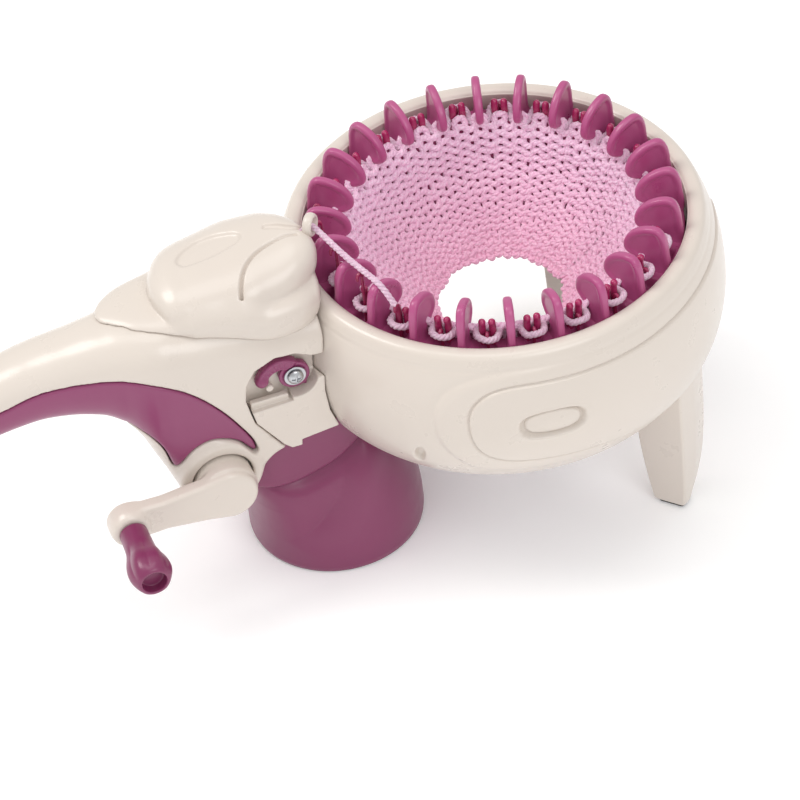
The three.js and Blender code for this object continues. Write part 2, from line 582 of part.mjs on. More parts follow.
let pod = cut(podOuter, podInner, armFat, ringCutter);
pod = cut(pod, box(-300, -80, -60, 60, -40, -14));
// clear of the fins' sweep
pod = cut(pod, lathe([[0, 18.6], [91.8, 18.6], [91.8, -5], [0, -5]], SEG));
// the yarn's slot, from the pod's top to the eyelet
pod = cut(pod, box(-107, -86, -5, -1.2, 26.4, 40));
node("pod_cover", bodies(pod)[0], CREAM);

// ---- yarn eyelet -------------------------------------------------------------------------
{
  const curve = new THREE.CatmullRomCurve3(
    Array.from({ length: 9 }, (_, i) => {
      const a = THREE.MathUtils.degToRad(205 - (i / 8) * 285);
      return new THREE.Vector3(0, 4.4 * Math.cos(a), 4.4 * Math.sin(a));
    }),
  );
  const section = new THREE.Shape(Array.from({ length: 8 }, (_, i) => {
    const a = (i / 8) * TAU;
    return new THREE.Vector2(1.6 * Math.cos(a), 2.2 * Math.sin(a));
  }));
  const g = new THREE.ExtrudeGeometry(section, { steps: 20, extrudePath: curve, bevelEnabled: false });
  g.rotateZ(THREE.MathUtils.degToRad(-38));
  g.translate(-90.6, -3, 29.6);
  let s = solid(g);
  node("yarn_eyelet", cut(s, podOuter.translate([0.3, 0, 0])), CREAM);
}

// ---- legs and feet ---------------------------------------------------------------------------
const legRing = (mirror, z, uIn, uOut, vL, vR) => {
  const a = THREE.MathUtils.degToRad(-46);
  const ring = [[uOut, vL], [uOut + 0.8, (vL + vR) / 2], [uOut - 0.6, vR], [uIn + 3, vR * 0.7], [uIn, vL]];
  const out = ring.map(([u, v]) => [
    u * Math.cos(a) - v * Math.sin(a),
    (u * Math.sin(a) + v * Math.cos(a)) * mirror,
    z,
  ]);
  return mirror < 0 ? out.reverse() : out;
};
const LEG = [
  // z, inner r, outer r, left, right
  [-66, 76, 97.8, -11.2, 14], [-90, 76.6, 97.8, -11.2, 13.2], [-110, 78, 98, -11.2, 11.4],
  [-126, 80, 98.2, -11.2, 8], [-138, 82, 98.2, -11.3, 2.6], [-148.2, 84, 97.8, -11.4, -4.4],
];
const PAD = [[-150, 84.4, 97.4, -11.1, -5], [-148.5, 84.4, 97.4, -11.1, -5]];
for (const [tag, mirror] of [["front", 1], ["rear", -1]]) {
  const leg = loft(LEG.map(([z, a, b, l, r]) => legRing(mirror, z, a, b, l, r)));
  node("leg_" + tag, cut(leg, ringCutter), CREAM);
  node("leg_pad_" + tag, loft(PAD.map(([z, a, b, l, r]) => legRing(mirror, z, a, b, l, r))), RUBBER);
}
const FOOT_X = -97;
const FOOT_Y = -9.5;
const FOOT_R = 43.5;
{
  const N = 28;
  const baseRingPt = (a, r) => [FOOT_X + r * Math.cos(a), FOOT_Y + r * Math.sin(a)];
  const columnPt = (a) => {
    // rounded rectangle about (-112, -3)
    const c = Math.cos(a);
    const s = Math.sin(a);
    return [-111 + 34 * Math.sign(c) * Math.abs(c) ** 0.45, -3.5 + 33.6 * Math.sign(s) * Math.abs(s) ** 0.45];
  };
  const ring = (z, t, r = FOOT_R) =>
    Array.from({ length: N }, (_, i) => {
      const a = (i / N) * TAU;
      const b = baseRingPt(a, r);
      const c = columnPt(a);
      return [c[0] + (b[0] - c[0]) * t, c[1] + (b[1] - c[1]) * t, z];
    });
  let foot = loft([
    ring(-60, 0), ring(-96, 0), ring(-97.5, 0.2), ring(-102, 0.42), ring(-110, 0.64), ring(-120, 0.82),
    ring(-132, 0.95), ring(-141, 1), ring(-148, 1, FOOT_R - 0.4),
  ]);
  // hollow from below
  foot = cut(foot, loft([ring(-149, 1, FOOT_R - 5), ring(-134, 0.95, FOOT_R - 5), ring(-120, 0.8, FOOT_R - 7), ring(-108, 0.6, FOOT_R - 10)]));
  foot = cut(foot, armFat, cylinderY(22, -60, -32.2, DRIVE_X, CRANK_Z, 28), ringCutter, prismXZ(NECK_PLATE, -60, -28.2), prismXZ(WINDOW, -60, -29.8));
  // relief for the sweep of the crank arm
  foot = cut(foot, cylinderY(61, -60, -43.8, DRIVE_X, CRANK_Z, 40));
  foot = cut(foot, prismXZ([[-80, -62], [-119, -69.4], [-119, -72], [-80, -72]], -60, -25));
  node("foot", bodies(foot)[0], PURPLE);
  node("foot_pad", lathe(ringProfile([[37.5, -150], [42, -150], [42, -148.3], [37.5, -148.3]]), 36, FOOT_X, FOOT_Y), RUBBER);
}

// ---- yarn strand from the eyelet to the raised needles ------------------------------------------
{
  const route = [
    [-98, -3.1, 31.4], [-94, -3.1, 30.6], [-90.6, -3.1, 29.6], [-86.6, -4.6, 28], [-82, -8, 26],
    [-77.5, -13.5, 23.2], [-74, -19.5, 21], [-70.8, -26, 19.6], [-68, -31.6, 19.3], [-65.2, -37, 19.2],
  ].map((p) => new THREE.Vector3(...p));
  const curve = new THREE.CatmullRomCurve3(route);
  const section = new THREE.Shape(Array.from({ length: 8 }, (_, i) => {
    const a = (i / 8) * TAU;
    return new THREE.Vector2(1.3 * Math.cos(a), 1.3 * Math.sin(a));
  }));
  const g = new THREE.ExtrudeGeometry(section, { steps: 18, extrudePath: curve, bevelEnabled: false });
  node("yarn_strand", solid(g), YARN);
}

export default machine;
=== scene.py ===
import bpy
import json
import math
import numpy as np
from mathutils import Vector, Matrix


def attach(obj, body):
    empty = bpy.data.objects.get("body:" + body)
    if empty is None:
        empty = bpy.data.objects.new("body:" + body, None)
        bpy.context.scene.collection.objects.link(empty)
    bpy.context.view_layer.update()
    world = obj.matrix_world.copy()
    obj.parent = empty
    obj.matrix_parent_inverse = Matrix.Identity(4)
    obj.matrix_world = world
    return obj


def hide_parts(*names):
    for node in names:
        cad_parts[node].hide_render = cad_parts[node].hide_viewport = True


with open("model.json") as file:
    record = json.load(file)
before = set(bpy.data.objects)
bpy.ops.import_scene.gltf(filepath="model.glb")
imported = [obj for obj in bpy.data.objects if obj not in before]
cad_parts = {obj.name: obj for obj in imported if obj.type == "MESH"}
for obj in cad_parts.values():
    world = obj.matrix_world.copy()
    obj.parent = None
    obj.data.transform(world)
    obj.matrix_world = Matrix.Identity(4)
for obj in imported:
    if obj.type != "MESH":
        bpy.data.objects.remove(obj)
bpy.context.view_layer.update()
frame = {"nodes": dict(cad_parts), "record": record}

# Shapes are worked out in millimetres about the knitting ring's axis, with z = 0 at the
# lower edge of the fins' heads, and moved into the row frame when a mesh is made.
OX, OZ = 95.55, 150.0
TAU = 2 * math.pi
NEEDLES = 24
DRIVE_X, CRANK_Z = -157.5, -76.0
KNOB_X = DRIVE_X - 50.0
rng = np.random.RandomState(7)


# ---------------------------------------------------------------- mesh helpers
def to_row(v):
    v = np.asarray(v, np.float64)
    return (v + np.array([OX, 0.0, OZ])) / 1000.0


def make(name, verts, faces, material, body, replaces=(), normals=None, smooth=True, row=False):
    me = bpy.data.meshes.new(name)
    co = verts if row else to_row(verts)
    me.from_pydata([tuple(p) for p in np.asarray(co).tolist()], [], [tuple(f) for f in (faces.tolist() if hasattr(faces, "tolist") else faces)])
    me.update()
    if smooth:
        me.polygons.foreach_set("use_smooth", [True] * len(me.polygons))
        me.update()
    if normals is not None:
        me.normals_split_custom_set_from_vertices([tuple(n) for n in normals.tolist()])
    for m in material if isinstance(material, (list, tuple)) else [material]:
        me.materials.append(m)
    ob = bpy.data.objects.new(name, me)
    bpy.context.scene.collection.objects.link(ob)
    if body:
        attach(ob, body)
    if replaces:
        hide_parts(*replaces)
    return ob


def grid_faces(nu, nv, wrap_u=True, wrap_v=False, base=0):
    iu = np.arange(nu if wrap_u else nu - 1)
    iv = np.arange(nv if wrap_v else nv - 1)
    a, b = np.meshgrid(iu, iv, indexing="ij")
    a2, b2 = (a + 1) % nu, (b + 1) % nv
    f = np.stack([a * nv + b, a2 * nv + b, a2 * nv + b2, a * nv + b2], -1).reshape(-1, 4)
    return f + base


class Bag:
    """Collects several sheets of vertices and faces into one mesh."""

    def __init__(self):
        self.v, self.f, self.n = [], [], 0

    def add(self, v, f):
        v = np.asarray(v, float).reshape(-1, 3)
        self.v.append(v)
        self.f += [tuple(int(i) + self.n for i in q) for q in (f.tolist() if hasattr(f, "tolist") else f)]
        self.n += len(v)

    def verts(self):
        return np.concatenate(self.v)


def rot_z(v, a):
    c, s = math.cos(a), math.sin(a)
    v = np.asarray(v, float)
    return np.stack([v[:, 0] * c - v[:, 1] * s, v[:, 0] * s + v[:, 1] * c, v[:, 2]], 1)


def pchip(x, y, q):
    """Shape-preserving cubic through (x, y), read at q."""
    x, y = np.asarray(x, float), np.asarray(y, float)
    o = np.argsort(x)
    x, y = x[o], y[o]
    h = np.diff(x)
    d = np.diff(y) / h
    m = np.zeros_like(y)
    m[0], m[-1] = d[0], d[-1]
    for i in range(1, len(y) - 1):
        if d[i - 1] * d[i] > 0:
            w1, w2 = 2 * h[i] + h[i - 1], h[i] + 2 * h[i - 1]
            m[i] = (w1 + w2) / (w1 / d[i - 1] + w2 / d[i])
    q = np.clip(q, x[0], x[-1])
    k = np.clip(np.searchsorted(x, q) - 1, 0, len(h) - 1)
    t = (q - x[k]) / h[k]
    return (
        (2 * t**3 - 3 * t**2 + 1) * y[k]
        + (t**3 - 2 * t**2 + t) * h[k] * m[k]
        + (-2 * t**3 + 3 * t**2) * y[k + 1]
        + (t**3 - t**2) * h[k] * m[k + 1]
    )


def catmull(points, per=8, closed=False):
    p = np.asarray(points, float)
    n = len(p)
    out = []
    for i in range(n if closed else n - 1):
        if closed:
            p0, p1, p2, p3 = p[(i - 1) % n], p[i], p[(i + 1) % n], p[(i + 2) % n]
        else:
            p0, p1, p2, p3 = p[max(i - 1, 0)], p[i], p[i + 1], p[min(i + 2, n - 1)]
        for t in np.arange(per) / per:
            out.append(
                0.5
                * (2 * p1 + (p2 - p0) * t + (2 * p0 - 5 * p1 + 4 * p2 - p3) * t**2 + (3 * p1 - p0 - 3 * p2 + p3) * t**3)
            )
    if not closed:
        out.append(p[-1])
    return np.array(out)


def tube(path, radius, sides=10, closed=False, ply=None, caps=True):
    """A round skin along a path; radius is a number or one for each point."""
    p = np.asarray(path, float)
    n = len(p)
    r = np.broadcast_to(np.asarray(radius, float), (n,))
    if closed:
        t = np.roll(p, -1, 0) - np.roll(p, 1, 0)
    else:
        t = np.gradient(p, axis=0)
    t /= np.linalg.norm(t, axis=1)[:, None] + 1e-12
    up = np.array([0.0, 0.0, 1.0]) if abs(t[0][2]) < 0.9 else np.array([1.0, 0.0, 0.0])
    nrm = np.zeros_like(p)
    v = up - t[0] * (up @ t[0])
    nrm[0] = v / np.linalg.norm(v)
    for i in range(1, n):
        v = nrm[i - 1] - t[i] * (nrm[i - 1] @ t[i])
        nrm[i] = v / (np.linalg.norm(v) + 1e-12)
    b = np.cross(t, nrm)
    a = np.arange(sides) / sides * TAU
    rr = np.broadcast_to(r[:, None], (n, sides))
    if ply:  # plies twisted into one yarn show as ridges that wind round it
        depth, pitch = ply
        run = np.r_[0, np.cumsum(np.linalg.norm(np.diff(p, axis=0), axis=1))]
        if closed:
            run = run * (round(run[-1] / pitch) * pitch / run[-1])
        rr = rr * (1 - depth + depth * np.abs(np.cos(1.5 * (a[None, :] - run[:, None] / pitch * TAU / 1.5 * 1.0))) * 1.6)
    ring = (np.cos(a)[None, :, None] * nrm[:, None] + np.sin(a)[None, :, None] * b[:, None]) * rr[:, :, None] + p[:, None]
    verts = ring.reshape(-1, 3)
    faces = grid_faces(n, sides, wrap_u=closed, wrap_v=True)[:, ::-1].tolist()
    if not closed and caps:
        verts = np.vstack([verts, p[0], p[-1]])
        for j in range(sides):
            faces.append((n * sides, j, (j + 1) % sides))
            faces.append((n * sides + 1, (n - 1) * sides + (j + 1) % sides, (n - 1) * sides + j))
    return verts, faces


# ------------------------------------------------------- solids from fields
class Field:
    """A block of space sampled every h millimetres; every field is negative inside."""

    def __init__(self, lo, hi, h):
        self.lo, self.h = np.array(lo, float), h
        n = [int(math.ceil((b - a) / h)) + 1 for a, b in zip(lo, hi)]
        self.x = (lo[0] + h * np.arange(n[0])).astype(np.float32)[:, None, None]
        self.y = (lo[1] + h * np.arange(n[1])).astype(np.float32)[None, :, None]
        self.z = (lo[2] + h * np.arange(n[2])).astype(np.float32)[None, None, :]
        self.shape = tuple(n)

    def unit(self, f):
        """Scales a field so that it changes by about 1 per millimetre."""
        f = np.ascontiguousarray(np.broadcast_to(f, self.shape), dtype=np.float32)
        g = np.gradient(f, self.h)
        m = np.sqrt(g[0] ** 2 + g[1] ** 2 + g[2] ** 2)
        return f / np.maximum(m, 0.02)

    def loft_x(self, rows, even=True):
        """Superellipse sections along X: x, yc, hy, top, bottom, n."""
        r = np.array(rows, float)
        r = r[np.argsort(r[:, 0])]
        xs = self.x.ravel().astype(float)
        yc = pchip(r[:, 0], r[:, 1], xs)
        zc = pchip(r[:, 0], (r[:, 3] + r[:, 4]) / 2, xs)
        hy = np.sqrt(np.maximum(pchip(r[:, 0], r[:, 2] ** 2, xs), 0.04))
        hz = np.sqrt(np.maximum(pchip(r[:, 0], ((r[:, 3] - r[:, 4]) / 2) ** 2, xs), 0.04))
        n = pchip(r[:, 0], r[:, 5], xs)
        yc, zc, hy, hz, n = (v.astype(np.float32)[:, None, None] for v in (yc, zc, hy, hz, n))
        a = (np.abs(self.y - yc) / hy) ** n
        b = (np.abs(self.z - zc) / hz) ** n
        f = (a + b) ** (1 / n) - 1
        f = f * np.minimum(hy, hz)
        if even:
            f = self.unit(f)
        return np.maximum(f, np.maximum(r[0, 0] - self.x, self.x - r[-1, 0]))

    def poly_xz(self, pts):
        """Signed distance to a closed outline in the XZ plane, the same for all y."""
        d = poly_distance(np.asarray(pts, float), *np.meshgrid(self.x.ravel(), self.z.ravel(), indexing="ij"))
        return d.astype(np.float32)[:, None, :]

    def cyl_y(self, x, z, r):
        return (np.sqrt((self.x - x) ** 2 + (self.z - z) ** 2) - r).astype(np.float32)

    def revolve(self, pts):
        """Signed distance to an outline in (r, z) turned about the ring's axis."""
        rr = np.sqrt(self.x**2 + self.y**2)[:, :, 0]
        step = 0.5
        rs = np.arange(max(0, rr.min() - 2), rr.max() + 2, step)
        table = poly_distance(np.asarray(pts, float), *np.meshgrid(rs, self.z.ravel(), indexing="ij"))
        k = (rr - rs[0]) / step
        i = np.clip(k.astype(int), 0, len(rs) - 2)
        t = (k - i)[:, :, None]
        return (table[i] * (1 - t) + table[i + 1] * t).astype(np.float32)

    def chain(self, pts, r):
        """Distance to a chain of points, less r, worked out only near it."""
        p = np.asarray(pts, float)
        out = np.full(self.shape, 50.0, np.float32)
        lo = np.floor((p.min(0) - r - 4 - self.lo) / self.h).astype(int).clip(0)
        hi = np.ceil((p.max(0) + r + 4 - self.lo) / self.h).astype(int) + 1
        sl = tuple(slice(a, max(a + 1, min(b, s))) for a, b, s in zip(lo, hi, self.shape))
        X, Y, Z = self.x[sl[0]], self.y[:, sl[1]], self.z[:, :, sl[2]]
        best = np.full((X.shape[0], Y.shape[1], Z.shape[2]), 1e9, np.float32)
        for a, b in zip(p[:-1], p[1:]):
            d = b - a
            t = np.clip(((X - a[0]) * d[0] + (Y - a[1]) * d[1] + (Z - a[2]) * d[2]) / (d @ d + 1e-9), 0, 1)
            best = np.minimum(best, (X - a[0] - t * d[0]) ** 2 + (Y - a[1] - t * d[1]) ** 2 + (Z - a[2] - t * d[2]) ** 2)
        out[sl] = np.sqrt(best) - r
        return out

    def mesh(self, f, keep_normals=True):
        return nets(np.ascontiguousarray(np.broadcast_to(f, self.shape), dtype=np.float32), self.lo, self.h)


def poly_distance(p, X, Z):
    """Signed distance from points to a closed polygon, negative inside."""
    best = np.full(X.shape, 1e18)
    inside = np.zeros(X.shape, bool)
    q = np.roll(p, -1, 0)
    for a, b in zip(p, q):
        d = b - a
        if d @ d < 1e-12:
            continue
        t = np.clip(((X - a[0]) * d[0] + (Z - a[1]) * d[1]) / (d @ d), 0, 1)
        best = np.minimum(best, (X - a[0] - t * d[0]) ** 2 + (Z - a[1] - t * d[1]) ** 2)
        if a[1] != b[1]:
            hit = (a[1] > Z) != (b[1] > Z)
            inside ^= hit & (X < (b[0] - a[0]) * (Z - a[1]) / (b[1] - a[1]) + a[0])
    return np.where(inside, -1, 1) * np.sqrt(best)


def smin(a, b, k):
    h = np.maximum(k - np.abs(a - b), 0) / k
    return np.minimum(a, b) - h * h * k / 4


def smax(a, b, k):
    return -smin(-a, -b, k)


def nets(F, lo, h):
    """Surface nets: one vertex in each cell that the surface crosses."""
    s = F < 0
    c = np.zeros(tuple(n - 1 for n in F.shape), np.int8)
    for i in (0, 1):
        for j in (0, 1):
            for k in (0, 1):
                c += s[i : i - 1 or None, j : j - 1 or None, k : k - 1 or None]
    active = (c > 0) & (c < 8)
    ids = np.argwhere(active)
    index = np.full(active.shape, -1, np.int64)
    index[active] = np.arange(len(ids))
    acc = np.zeros((len(ids), 3))
    cnt = np.zeros(len(ids))
    corner = [(i, j, k) for i in (0, 1) for j in (0, 1) for k in (0, 1)]
    val = {cr: F[ids[:, 0] + cr[0], ids[:, 1] + cr[1], ids[:, 2] + cr[2]].astype(float) for cr in corner}
    for a in corner:
        for ax in range(3):
            if a[ax] == 0:
                b = tuple(1 if n == ax else a[n] for n in range(3))
                fa, fb = val[a], val[b]
                m = (fa < 0) != (fb < 0)
                t = fa[m] / (fa[m] - fb[m])
                pt = np.tile(np.array(a, float), (m.sum(), 1))
                pt[:, ax] += t
                acc[m] += pt
                cnt[m] += 1
    v = ids + acc / cnt[:, None]
    faces = []
    for ax in range(3):
        o1, o2 = [n for n in range(3) if n != ax]
        sl0 = [slice(1, -1)] * 3
        sl0[ax] = slice(0, -1)
        sl1 = list(sl0)
        sl1[ax] = slice(1, None)
        A, B = s[tuple(sl0)], s[tuple(sl1)]
        hit = np.argwhere(A != B)
        if not len(hit):
            continue
        flip = A[tuple(hit.T)]
        base = hit.copy()
        base[:, o1] += 1
        base[:, o2] += 1
        q = []
        for d1, d2 in ((1, 1), (0, 1), (0, 0), (1, 0)):
            cell = base.copy()
            cell[:, o1] -= d1
            cell[:, o2] -= d2
            q.append(index[tuple(cell.T)])
        q = np.stack(q, 1)
        turn = flip if ax != 1 else ~flip
        q[~turn] = q[~turn][:, ::-1]
        faces.append(q)
    faces = np.concatenate(faces)
    # settle the vertices on the surface and take its normal
    G = np.gradient(F)

    def read(A, p):
        i = np.clip(np.floor(p).astype(int), 0, np.array(A.shape) - 2)
        t = p - i
        out = 0
        for a in corner:
            w = np.prod([t[:, n] if a[n] else 1 - t[:, n] for n in range(3)], 0)
            out = out + w * A[i[:, 0] + a[0], i[:, 1] + a[1], i[:, 2] + a[2]]
        return out

    for _ in range(2):
        g = np.stack([read(x, v) for x in G], 1)
        f = read(F, v)
        step = f / np.maximum((g**2).sum(1), 1e-6)
        v = v - np.clip(step, -0.7, 0.7)[:, None] * g * (np.abs(step[:, None] * g) < 0.8)
    g = np.stack([read(x, v) for x in G], 1)
    nrm = g / (np.linalg.norm(g, axis=1)[:, None] + 1e-9)
    return v * h + lo, faces, nrm


# ------------------------------------------------------------------ materials
def new_material(name):
    m = bpy.data.materials.new(name)
    m.use_nodes = True
    nt = m.node_tree
    b = nt.nodes["Principled BSDF"]
    return m, nt, b


def ramp(nt, fac, stops):
    r = nt.nodes.new("ShaderNodeValToRGB")
    while len(r.color_ramp.elements) < len(stops):
        r.color_ramp.elements.new(0.5)
    for e, (pos, col) in zip(r.color_ramp.elements, stops):
        e.position = pos
        e.color = (*col, 1) if len(col) == 3 else col
    nt.links.new(fac, r.inputs["Fac"])
    return r.outputs["Color"]


def srgb(r, g, b):
    return tuple(((c / 255) / 12.92 if c / 255 <= 0.04045 else ((c / 255 + 0.055) / 1.055) ** 2.4) for c in (r, g, b))


def noise(nt, scale, detail=4, rough=0.5, coord="Object"):
    tc = nt.nodes.new("ShaderNodeTexCoord")
    n = nt.nodes.new("ShaderNodeTexNoise")
    n.inputs["Scale"].default_value = scale
    n.inputs["Detail"].default_value = detail
    n.inputs["Roughness"].default_value = rough
    nt.links.new(tc.outputs[coord], n.inputs["Vector"])
    return n.outputs["Fac"]


def bump(nt, b, height, strength, distance, chain=None):
    n = nt.nodes.new("ShaderNodeBump")
    n.inputs["Strength"].default_value = strength
    n.inputs["Distance"].default_value = distance
    nt.links.new(height, n.inputs["Height"])
    if chain is not None:
        nt.links.new(chain, n.inputs["Normal"])
    if b is not None:
        nt.links.new(n.outputs["Normal"], b.inputs["Normal"])
    return n.outputs["Normal"]


def plastic(name, colour, dark, light, rough=(0.26, 0.36), coat=0.15, sss=0.0, grain=0.35, tint=None):
    """Injection-moulded plastic: faint flow marks in the colour, a fine orange-peel surface and uneven gloss."""
    m, nt, b = new_material(name)
    flow = noise(nt, 7.0, 2, 0.45)
    base = ramp(nt, flow, [(0.3, dark), (0.5, colour), (0.72, light)])
    nt.links.new(base, b.inputs["Base Color"])
    gl = noise(nt, 60.0, 4, 0.6)
    mr = nt.nodes.new("ShaderNodeMapRange")
    mr.inputs["From Min"].default_value = 0.3
    mr.inputs["From Max"].default_value = 0.7
    mr.inputs["To Min"].default_value = rough[0]
    mr.inputs["To Max"].default_value = rough[1]
    nt.links.new(gl, mr.inputs["Value"])
    nt.links.new(mr.outputs["Result"], b.inputs["Roughness"])
    fine = noise(nt, 420.0, 1, 0.4)
    big = noise(nt, 70.0, 1, 0.4)
    n1 = bump(nt, None, fine, grain * 0.5, 0.00001)
    bump(nt, b, big, 0.1, 0.00003, chain=n1)
    b.inputs["Coat Weight"].default_value = coat
    b.inputs["Coat Roughness"].default_value = 0.12
    b.inputs["IOR"].default_value = 1.49
    if sss:
        b.inputs["Subsurface Weight"].default_value = sss
        b.inputs["Subsurface Scale"].default_value = 0.002
        b.inputs["Subsurface Radius"].default_value = (1.0, 0.8, 0.6)
    return m


M_CREAM = plastic("cream_plastic_look", srgb(213, 203, 193), srgb(211, 200, 190), srgb(215, 205, 196), (0.26, 0.34), 0.2, 0.0)
M_INNER = plastic("inner_plastic_look", srgb(188, 180, 171), srgb(182, 173, 164), srgb(194, 187, 178), (0.42, 0.55), 0.0, 0.0, 0.5)
M_PURPLE = plastic("purple_plastic_look", srgb(138, 58, 100), srgb(134, 54, 96), srgb(142, 62, 104), (0.3, 0.42), 0.16, 0.0, 0.4)
M_FOOT = plastic("foot_plastic_look", srgb(124, 45, 86), srgb(120, 42, 82), srgb(128, 49, 90), (0.3, 0.42), 0.2, 0.0, 0.4)
M_BED = plastic("bed_plastic_look", srgb(176, 80, 129), srgb(170, 74, 123), srgb(182, 86, 135), (0.26, 0.38), 0.2, 0.04, 0.35)
M_PEG = plastic("peg_plastic_look", srgb(170, 44, 96), srgb(160, 38, 88), srgb(178, 52, 104), (0.2, 0.3), 0.3, 0.0, 0.2)
M_NEEDLE = plastic("needle_plastic_look", srgb(152, 40, 84), srgb(142, 34, 76), srgb(162, 48, 92), (0.2, 0.32), 0.3, 0.05, 0.2)
M_GEAR = plastic("gear_plastic_look", srgb(232, 230, 222), srgb(224, 221, 212), srgb(238, 236, 230), (0.38, 0.5), 0.0, 0.08, 0.3)


def metal(name, colour, rough, scale=(1, 1, 60)):
    m, nt, b = new_material(name)
    tc = nt.nodes.new("ShaderNodeTexCoord")
    mp = nt.nodes.new("ShaderNodeMapping")
    mp.inputs["Scale"].default_value = (400 * scale[0], 400 * scale[1], 400 * scale[2])
    n = nt.nodes.new("ShaderNodeTexNoise")
    n.inputs["Scale"].default_value = 1.0
    n.inputs["Detail"].default_value = 3
    nt.links.new(tc.outputs["Object"], mp.inputs["Vector"])
    nt.links.new(mp.outputs["Vector"], n.inputs["Vector"])
    c = ramp(nt, n.outputs["Fac"], [(0.3, tuple(v * 0.8 for v in colour)), (0.7, colour)])
    nt.links.new(c, b.inputs["Base Color"])
    mr = nt.nodes.new("ShaderNodeMapRange")
    mr.inputs["To Min"].default_value = rough * 0.7
    mr.inputs["To Max"].default_value = rough * 1.4
    nt.links.new(n.outputs["Fac"], mr.inputs["Value"])
    nt.links.new(mr.outputs["Result"], b.inputs["Roughness"])
    b.inputs["Metallic"].default_value = 1.0
    bump(nt, b, n.outputs["Fac"], 0.2, 0.00003)
    return m


M_STEEL = metal("steel_look", (0.56, 0.57, 0.59), 0.28)
M_BRONZE = metal("bronze_look", (0.60, 0.45, 0.22), 0.35, (1, 1, 1))


def rubber():
    m, nt, b = new_material("pad_rubber_look")
    n = noise(nt, 300.0, 5, 0.6)
    nt.links.new(ramp(nt, n, [(0.3, srgb(34, 31, 32)), (0.7, srgb(52, 48, 49))]), b.inputs["Base Color"])
    b.inputs["Roughness"].default_value = 0.8
    bump(nt, b, n, 0.5, 0.0002)
    return m


M_RUBBER = rubber()


def yarn(name, shades, depth_shade=None):
    """Soft spun yarn: plied fibre colour, a fuzzy sheen, fine fibre bump and a faint painted glow; with a depth range,
    painted shade lower down.
    """
    m, nt, b = new_material(name)
    n = noise(nt, 700.0, 6, 0.65)
    patch = noise(nt, 28.0, 3, 0.5)
    c1 = ramp(nt, n, [(0.28, shades[0]), (0.5, shades[1]), (0.75, shades[2])])
    mix = nt.nodes.new("ShaderNodeMix")
    mix.data_type = "RGBA"
    mix.blend_type = "MULTIPLY"
    mix.inputs["Factor"].default_value = 0.5
    nt.links.new(c1, mix.inputs["A"])
    nt.links.new(ramp(nt, patch, [(0.3, (0.86, 0.8, 0.83)), (0.7, (1, 1, 1))]), mix.inputs["B"])
    out = mix.outputs["Result"]
    # painted shade: lower down, the colour is multiplied towards a darker, redder tint between heights z0 and z1
    if depth_shade:
        z0, z1, tint = depth_shade
        tc = nt.nodes.new("ShaderNodeTexCoord")
        sep = nt.nodes.new("ShaderNodeSeparateXYZ")
        nt.links.new(tc.outputs["Object"], sep.inputs["Vector"])
        mr = nt.nodes.new("ShaderNodeMapRange")
        mr.inputs["From Min"].default_value = z0
        mr.inputs["From Max"].default_value = z1
        nt.links.new(sep.outputs["Z"], mr.inputs["Value"])
        m2 = nt.nodes.new("ShaderNodeMix")
        m2.data_type = "RGBA"
        m2.blend_type = "MULTIPLY"
        nt.links.new(mr.outputs["Result"], m2.inputs["Factor"])
        nt.links.new(out, m2.inputs["A"])
        m2.inputs["B"].default_value = (*tint, 1)
        out = m2.outputs["Result"]
    nt.links.new(out, b.inputs["Base Color"])
    b.inputs["Roughness"].default_value = 0.9
    b.inputs["Sheen Weight"].default_value = 0.6
    b.inputs["Sheen Roughness"].default_value = 0.5
    b.inputs["Sheen Tint"].default_value = (*srgb(250, 225, 240), 1)
    b.inputs["Subsurface Weight"].default_value = 0.15
    b.inputs["Subsurface Scale"].default_value = 0.003
    b.inputs["Subsurface Radius"].default_value = (1.0, 0.5, 0.6)
    b.inputs["Specular IOR Level"].default_value = 0.2
    # painted glow: the yarn gives off a faint light in its own mid shade, so it glows though it is no lamp
    b.inputs["Emission Color"].default_value = (*shades[1], 1)
    b.inputs["Emission Strength"].default_value = 0.06
    bump(nt, b, n, 0.7, 0.0004)
    return m


# painted shade: the knit darkens to a redder tint lower down the tube, deeper in the bowl
M_YARN = yarn("yarn_look", (srgb(222, 172, 202), srgb(241, 202, 225), srgb(252, 228, 242)), (0.138, 0.088, srgb(236, 206, 212)))
# painted shade: a dark copy of the yarn for the sheet behind the loops, standing in for the shade seen through the gaps
M_YARN_SHADE = yarn("yarn_shade_look", (srgb(122, 46, 80), srgb(144, 62, 98), srgb(166, 86, 120)))
M_YARN_PALE = yarn("yarn_pale_look", (srgb(192, 154, 177), srgb(217, 186, 204), srgb(236, 215, 227)))

for name, ob in frame["nodes"].items():
    mat = {
        "cream_plastic": M_CREAM, "inner_plastic": M_INNER, "purple_plastic": M_PURPLE, "bed_plastic": M_BED,
        "needle_plastic": M_NEEDLE, "gear_plastic": M_GEAR, "steel": M_STEEL, "bronze": M_BRONZE,
        "pad_rubber": M_RUBBER, "yarn": M_YARN,
    }[next(s["material_slot"] for s in frame["record"]["subparts"] if s["node"] == name)]
    ob.data.materials.clear()
    ob.data.materials.append(mat)

# ---------------------------------------------------------------- ring housing
RING = np.array([
    [92.0, -13.0], [92.0, -2.2], [92.5, -0.9], [93.8, 0.2], [96.2, 0.8], [98.6, 0.5], [100.4, -0.9], [101.6, -3.4],
    [103.4, -8.0], [105.6, -15.0], [107.4, -24.0], [108.35, -33.0], [108.5, -41.0], [107.9, -48.5], [106.6, -56.0],
    [104.6, -63.0], [101.8, -69.4], [98.2, -75.2], [94.4, -80.0], [91.6, -82.8], [89.4, -84.0], [86.6, -84.0], [85.2, -83.0],
])
